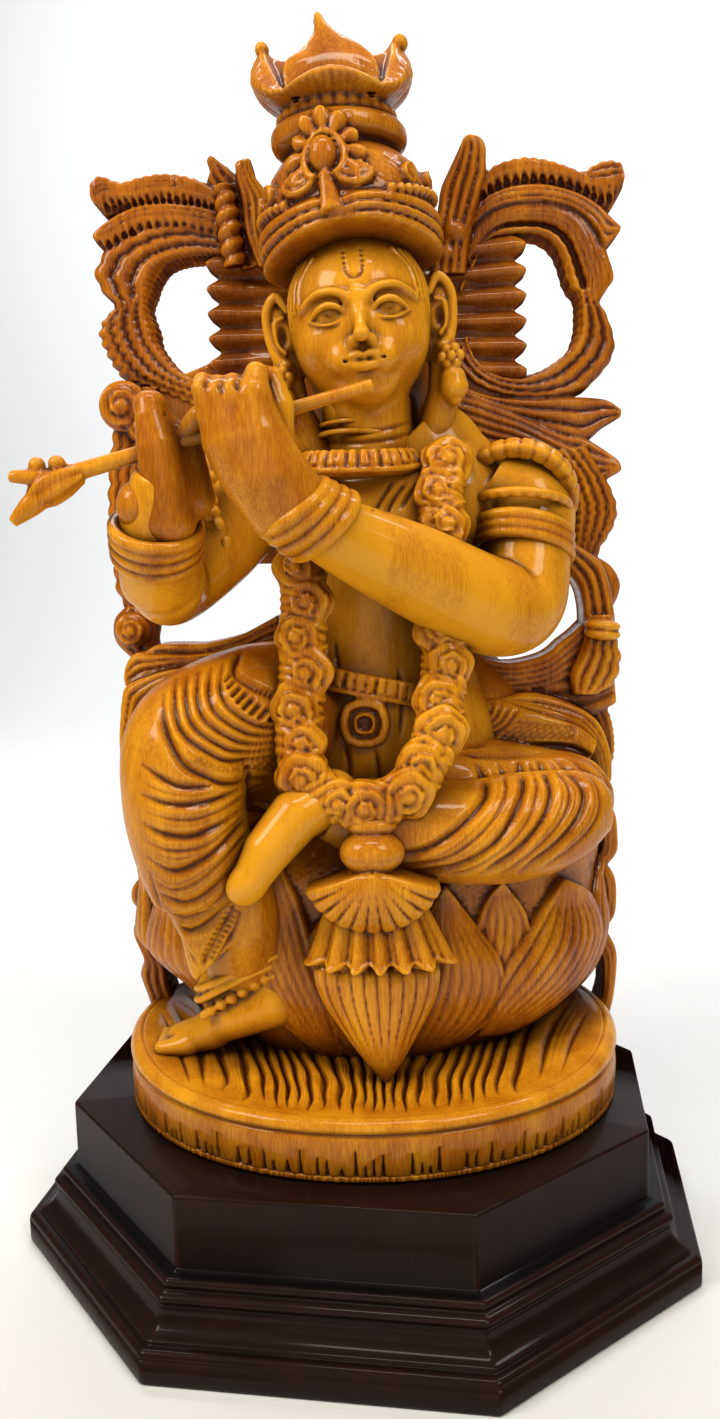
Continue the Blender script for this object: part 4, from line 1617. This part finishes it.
# %% Right side of the arch
right_arch = [
    leaf_band([(38, 311), (43, 316.5), (46.8, 320.5), (50.6, 323), (56, 324.5), (61, 325), (68, 323.8),
        (75, 321.4), (80.4, 319.4), (84, 321.4), (88.7, 323), (93.6, 322), (95, 318)],
        [(38, 306), (43, 310), (46.3, 312), (50, 314.6), (55.5, 316), (62, 316.5), (69, 316), (76, 314.4),
        (82, 312), (86, 308.7), (90, 306.5), (93, 310.5), (95, 314.4)], toothed(3, 1.6, 0.0, 3.2), middle=34,
        lobes=(0.7, 3.6)),
    leaf_band([(38, 304), (42, 308), (46, 311.6), (50, 314), (57, 316), (65.5, 316.4), (72.5, 315),
        (79.5, 312.6), (86, 308.8), (91, 304), (94.2, 300.7)],
        [(38, 296), (41.5, 301), (46, 306), (53, 309), (62, 310), (69, 309.6), (76, 307.6), (82, 303.5),
        (86, 298.6), (88.6, 294), (93.5, 298.6)], grooved(3, 1.8, 1.2), middle=35, lobes=(0, 5)),
    leaf_band([(38, 297), (41, 302), (46, 307.6), (53, 310.6), (62, 311.6), (69, 311), (77, 308.6),
        (83.2, 304), (87.7, 296.6), (90.2, 290.7), (92, 284), (90, 280.5), (87, 276)],
        [(37, 279), (42, 288), (44.3, 294.6), (48.6, 298.5), (53.6, 299.6), (62, 300), (67.3, 298.4),
        (71, 295), (73.3, 290), (74.7, 285), (76.5, 281.3), (78.6, 278.8), (79.6, 276)], hooked, middle=36,
        lobes=(0, 5), notches=(0.5, 5)),
    leaf_band([(86.5, 280), (86.7, 276.5), (89, 272.6), (91.4, 267), (92.8, 260.5), (91, 255), (87, 250),
        (81, 244.8), (72.5, 243), (61.7, 242.6), (51, 244), (41.6, 248), (35, 255)],
        [(79, 280), (79.3, 277), (79.3, 272), (79, 267.4), (77, 261.3), (73, 257), (67.5, 253.6),
        (62.5, 251.7), (57.5, 250.6), (51.7, 251.4), (46.7, 253.6), (41.8, 259), (39.7, 267)],
        grooved(3, 2.8, 1.2), middle=36, lobes=(0.5, 6), notches=(0.5, 4)),
    leaf_band([(30, 255), (35, 250), (41.6, 246), (50.8, 243.6), (61.6, 243), (72, 243), (83, 242.4),
        (90, 241.2), (94.4, 238)], [(28, 244), (33.6, 244), (41.5, 241), (52.6, 236), (63, 232), (72, 229),
        (81, 226.6), (88, 231.5), (94.4, 235.2)], grooved(3, 2.6, 1.2), middle=35),
    leaf_band([(30, 246), (41, 243), (50, 240), (58, 237), (67, 232.5), (74, 229.4), (81, 228), (87, 224.6),
        (93.3, 220), (94.4, 217)], [(26, 232), (36, 229), (46, 226), (56, 224), (66, 219), (74, 212),
        (80, 208), (86, 211), (90, 213.5), (94, 215.6)], grooved(5, 1.8, 1.2), middle=34),
    leaf_band([(82, 225), (86, 218), (88.7, 214), (91, 209.5), (93, 204), (92.7, 198.4), (90, 192.7),
        (87, 188), (85.6, 182)], [(66, 223), (72, 217), (74, 213), (76, 208), (77.6, 204), (77.8, 199),
        (77.4, 195), (77, 191), (76.4, 182)], grooved(4, 2.0, 1.2), middle=33, notches=(0.9, 3.4),
        lobes=(0.6, 5)),
    leaf_band([(84, 186), (90, 182), (93.3, 176), (92.6, 170.6), (89.6, 165)],
        [(80, 180), (81, 174), (81, 168), (80, 164), (80, 160)], grooved(2, 2.4, 1.5), middle=28, half=7),
    leaf_band([(68, 194), (73, 191), (79, 187.4), (84.3, 182.6), (87, 176), (88.4, 168), (89.3, 160),
        (89, 150)], [(62, 186), (68, 183.5), (72, 180.5), (76, 174.7), (77.6, 168.3), (78, 162.6), (78, 158),
        (77, 150)], grooved(3, 2.6, 1.2), middle=17, half=9),
    leaf_band([(88, 165), (89.5, 157), (91, 149), (89, 141), (83, 137)],
        [(78.5, 165), (78, 157), (76, 151), (73, 144), (74, 137)], grooved(4, 1.8, 2.0), middle=15, half=9,
        lobes=(0.8, 6)),
    leaf_band([(41.2, 332.4), (45, 331.4), (46.6, 328.4), (46.6, 324), (46.6, 319.4), (45, 313.5),
        (42.6, 305.5), (40.3, 295.5), (39, 286)],
        [(38.7, 331.3), (36.6, 327), (33.3, 320.6), (30.6, 314.7), (29.6, 307), (28, 299.6), (28, 294),
        (26, 286)], grooved(4, 2.2, 1.5), middle=32, half=8)]
# The cloth at this side is drawn up to the scarf's end, over folds that run round the knee.
right_arch.append(leaf_band(
    [(64, 146), (73, 147), (81, 149), (88, 152)], [(64, 127), (73, 127), (82, 129), (90, 133)],
    grooved(4, 1.6, 1.0), middle=20, half=9))
right_arch += [
    leaf_band([(34, 154), (37.7, 152.1), (44.7, 149.8), (50, 148.6), (55.4, 148.8), (62.4, 150.4),
        (66.7, 152.5), (70.2, 155.6), (74.4, 158.7), (79, 163)],
        [(34, 136), (44, 135), (55, 136), (62, 137), (69, 139), (75, 142), (80, 148)], grooved(6, 1.6, 1.0),
        middle=20, half=9),
    leaf_band([(30, 137), (40.5, 135.5), (54.6, 138), (63.3, 137.5), (73.8, 133.5), (80.8, 129),
        (84.5, 123.2), (87, 114.3), (87, 106)],
        [(30, 126), (47, 125), (57.7, 125), (68.2, 124), (76, 119), (80, 113), (81, 106)],
        grooved(5, 1.8, 1.0), middle=13, half=9),
    leaf_band([(81, 137), (84, 134.4), (86.9, 131.8), (88.9, 126.6), (90, 120.1), (90, 114.6), (88.8, 109.9),
        (86, 104)], [(76, 134), (80, 131), (82.6, 127), (84.6, 122), (85.4, 116.5), (85.2, 111), (83, 105)],
        grooved(2, 1.4, 1.2), middle=22, half=9, lobes=(0.6, 2.6))]
right_arch += [
    leaf_band([(83, 101), (86.3, 97.7), (90.3, 92.1), (91.4, 84.6), (91.1, 77.1), (86, 71)],
              [(77, 98), (81.6, 95), (84.2, 90.3), (85.2, 83.6), (84.2, 77.2), (79, 73)],
              grooved(3, 1.6, 1.5), middle=22, half=8),
    leaf_band([(84, 76), (87.4, 73), (90.4, 67.7), (91.1, 60.1), (90.1, 52.5), (85.3, 47.2), (80, 40)],
              [(78, 75), (82, 72), (84.2, 67), (84.8, 60.2), (83.4, 54.5), (79, 49), (74, 44)],
              grooved(3, 1.7, 1.5), middle=22, half=8),
    leaf_band([(83.8, 50), (88.3, 45.6), (91.4, 39.1), (91.6, 31.3), (90.6, 21.7), (89, 14)],
              [(79, 46), (83.2, 41.1), (85.4, 36.5), (86, 31.4), (86, 23.7), (84, 16)],
              grooved(3, 1.7, 1.5), middle=24, half=8),
]
for z in (163.0, 160.0):
    right_arch.append(egg((83.5, 5.5, z - 1.5), (6.4, 5, 2.2), (0, 0.12, 0)))
right_arch.append(egg((35.5, 26, 300), (4.4, 3.4, 4.0)))
right_arch.append(egg((32, 27, 293), (4.0, 3.4, 3.6)))


# %% Pleated rays and the plain backing
RAY_PITCH = 7.9


def ray_fan(inner, outer, low, pleats):
    """A sheet of pleats beside the head, with a saw edge towards the loop."""
    z = np.linspace(low, low + pleats * RAY_PITCH, pleats * 24)[:, None]
    share = np.linspace(0, 1, 34)[None]
    part = np.mod((z - low) / RAY_PITCH, 1)
    off = np.abs(2 * part - 1)
    pleat = 1 - off ** 1.5 - 0.2 * np.clip(1 - np.abs(part - 0.27) / 0.06, 0, 1)
    reach = inner + (outer - np.sign(outer) * 5.5 * off ** 1.15 - inner) * share
    slope = 0.10 * (z - low - 0.5 * pleats * RAY_PITCH) * share
    front = np.stack([reach, 31.5 - 4.5 * pleat + 2.5 * (1 - share) + 0 * z, z + slope], -1)
    back = front[:, ::-33].copy()
    back[..., 1] = 40
    return loft(np.concatenate([front, back], 1))


def slab(rows, front, back=44.0):
    """A plain slab. Rows are z, left x, right x."""
    corners = [
        [(left, front, z), (right, front, z), (right, back, z), (left, back, z)] for z, left, right in rows]
    return loft(corners)


back_solids = [
    slab([[20, -54, 60], [29, -58, 78], [50, -62, 80], [95, -76, 82], [132, -80, 82], [141, -76, 78],
        [147, -66, 50], [152, -54, 40], [160, -38, 34]], 20),
    slab([[140, -32, 38], [160, -29, 32], [180, -28, 38], [226, -44, 56]], 22),
    slab([[222, -44, 50], [300, -36, 40], [310, -24, 28]], 31),
    slab([[186, -50, -26], [198, -70, -26], [210, -84, -26], [250, -78, -26], [262, -46, -26]], 30),
    slab([[198, 36, 60], [206, 36, 72], [246, 26, 72], [256, 26, 48]], 30), egg((3, 24, 258), (27, 23, 38)),
    egg((4, 26, 190), (34, 20, 44)), egg((2, 22, 122), (62, 28, 42)), ray_fan(-22, -54.5, 247.5, 6),
    ray_fan(22, 61.5, 250.5, 6)]
GOUGE_WIDTH = 7.0


def gouged_back(points, quads):
    """Long shallow gouge strokes, side by side, on everything that faces the back."""
    normals = point_normals(points, quads)
    facing = soft_step(normals[:, 1], 0.4, 0.8)
    x, z = points[:, 0], points[:, 2]
    drift = 2.2 * np.sin(z / 19) + 3.5 * np.sin(x / 13 + z / 70)
    row = np.floor((x + drift) / GOUGE_WIDTH)
    stroke = 1 - scallops(x + drift, GOUGE_WIDTH)
    bite = 0.3 * scallops(z + 9 * np.sin(2.4 * row), 23.0)
    return points + normals * (facing * (0.6 * stroke + bite - 0.8))[:, None]


place_fused("arch_left", left_arch, FINE_VOXEL, finish=gouged_back)
place_fused("arch_right", right_arch, FINE_VOXEL, finish=gouged_back)
place_fused("backing", back_solids, FINE_VOXEL, 3, gouged_back)

# %% [markdown]
# The flute
# The flute is a loose turned rod. Its outer end is cut as a small bunch of leaves.

# %% Flute
FLUTE_MOUTH, FLUTE_OUTER = np.array([6, -43, 237.5]), np.array([-84, -50, 213.5])


def six_ribs(mm, angle):
    return 0.4 * np.cos(6 * angle) + 0 * mm


x, y, z = FLUTE_OUTER
flute_solids = [
    sweep([[*FLUTE_OUTER, 2.6, 2.6], [*(0.5 * FLUTE_OUTER + 0.5 * FLUTE_MOUTH), 2.25, 2.25],
        [*FLUTE_MOUTH, 1.9, 1.9]], round_section(around=40)),
    sweep([[x + 3, y, z, 2.6, 2.6], [x - 2, y - 0.5, z - 2, 4.6, 4], [x - 8, y - 1, z - 5, 5, 4],
        [x - 13, y - 1, z - 9, 2, 2]], round_section(six_ribs)),
    sweep([[x - 4, y - 1, z - 3, 3.4, 3], [x - 12, y - 2, z - 9, 3.4, 2.4],
        [x - 18, y - 2, z - 14, 1.6, 1.4]], round_section()),
    sweep([[x - 4, y - 1, z - 2, 3, 2.6], [x - 11, y - 2, z - 1, 2.4, 2],
        [x - 18, y - 2, z - 0.5, 1.8, 1.6]], round_section()),
    egg((x - 10, y - 1, z + 2.5), (2.6, 2.4, 2.6)), egg((x - 4, y - 1, z + 3), (2.6, 2.4, 2.4))]
place_fused("flute_rod", flute_solids, FINEST_VOXEL, kind=(honey_wood, "flute_wood", "flute"))

# %% [markdown]
# The plinth
# The plinth is a harder wood, stained almost black, with eight sides. A square block stands on a foot with
# the usual run of mouldings: two rolls, a hollow, a roll again and a flat band.

# %% Plinth
PLINTH_HALF = (98.5, 83.6)
CORNER_CUT = 53.5
CORNER_SOFT = 1.2
FOOT_EDGE = 10.1
OVERHANG = 16.4
FOOT_HEIGHT = 26.1


def arc(start, end, bulge, count=7):
    """Points of a curve between two profile points that bulges to one side."""
    start, end = np.array(start, float), np.array(end, float)
    t = np.linspace(0, 1, count)[:, None]
    normal = np.array([end[1] - start[1], start[0] - end[0]])
    return start + (end - start) * t + 4 * bulge * t * (1 - t) * normal


def plinth_profile():
    out, low = OVERHANG, FOOT_EDGE
    runs = [
        [(out - 1, 0), (out - 0.3, 0.3), (out, 1), (out, low - 2.2)],
        arc((out, low - 2.2), (out - 3.2, low + 0.3), 0.3),
        [(out - 3.6, low + 0.4), (out - 3.7, low + 1.2)],
        arc((out - 3.8, low + 1.4), (out - 9.4, low + 7.6), -0.16, 12),
        [(out - 9.6, low + 8.0), (out - 10.0, low + 8.6)],
        arc((out - 9.8, low + 8.8), (out - 10.6, low + 12.4), 0.45, 9),
        [(out - 11.4, low + 12.5), (out - 11.6, low + 12.8)],
        arc((out - 11.5, low + 13.0), (out - 13.4, low + 15.6), 0.35, 7),
        [(out - 14.2, low + 15.7), (0.3, FOOT_HEIGHT), (0, FOOT_HEIGHT + 0.3), (0, PLINTH_HEIGHT - 0.9),
         (-0.25, PLINTH_HEIGHT - 0.25), (-0.9, PLINTH_HEIGHT)],
    ]
    return np.vstack([np.asarray(run, float) for run in runs])


def plinth_ring(grow, z):
    half_wide, half_deep = PLINTH_HALF[0] + grow, PLINTH_HALF[1] + grow
    cut = CORNER_CUT - grow * math.tan(math.pi / 8) + grow
    corners = []
    for sx, sy in ((1, -1), (1, 1), (-1, 1), (-1, -1)):
        pair = [(sx * (half_wide - cut), sy * half_deep), (sx * half_wide, sy * (half_deep - cut))]
        corners += pair if sx * sy < 0 else pair[::-1]
    corners = np.array(corners)
    ring = []
    for k, corner in enumerate(corners):
        before = unit(corners[k - 1] - corner) * CORNER_SOFT
        after = unit(corners[(k + 1) % 8] - corner) * CORNER_SOFT
        for t in np.linspace(0, 1, 6):
            ring.append(corner + before * (1 - t) ** 2 + after * t ** 2)
    return np.hstack([np.array(ring), np.full((len(ring), 1), z)])


dark_wood = varnished_wood("stained_dark_wood", "#240a05", "#180603", "#0d0302", "#030101", 0.17)


def place_plinth():
    """The plinth's points are already in the whole object's frame."""
    points, ends, quads = loft([plinth_ring(grow, z) for grow, z in plinth_profile()])
    moved = points - [FIGURE_SHIFT, 0, PLINTH_HEIGHT + GLUE_LINE]
    c, s = math.cos(FIGURE_TURN), math.sin(FIGURE_TURN)
    back = np.stack([c * moved[:, 0] + s * moved[:, 1], c * moved[:, 1] - s * moved[:, 0], moved[:, 2]], 1)
    place_carving("dark_plinth", back, [*ends.tolist(), *quads.tolist()], dark_wood, "dark_wood", "plinth")


place_plinth()
print("triangles in all:", triangles_so_far)


def pale_backdrop():
    """A plain pale sheet under the plinth that curves up behind it. It is no part of the object."""
    half, rise = 3.0, 0.5
    turn = np.linspace(0, math.pi / 2, 14)
    curve = [(1.2 + rise * math.sin(t), rise * (1 - math.cos(t))) for t in turn]
    line = [(-half, 0.0)] + curve + [(1.7, half)]
    corners = [(side * half, y, z) for y, z in line for side in (-1, 1)]
    faces = [(k, k + 1, k + 3, k + 2) for k in range(0, len(corners) - 2, 2)]
    sheet = bpy.data.meshes.new("backdrop")
    sheet.from_pydata(corners, [], faces)
    sheet.shade_smooth()
    backdrop = bpy.data.objects.new("backdrop", sheet)
    bpy.context.scene.collection.objects.link(backdrop)
    material, tree, shader = new_material("pale_paper")
    shader.inputs["Base Color"].default_value = linear("#f0f3f6")
    shader.inputs["Roughness"].default_value = 0.9
    shader.inputs["Specular IOR Level"].default_value = 0.1
    sheet.materials.append(material)


pale_backdrop()
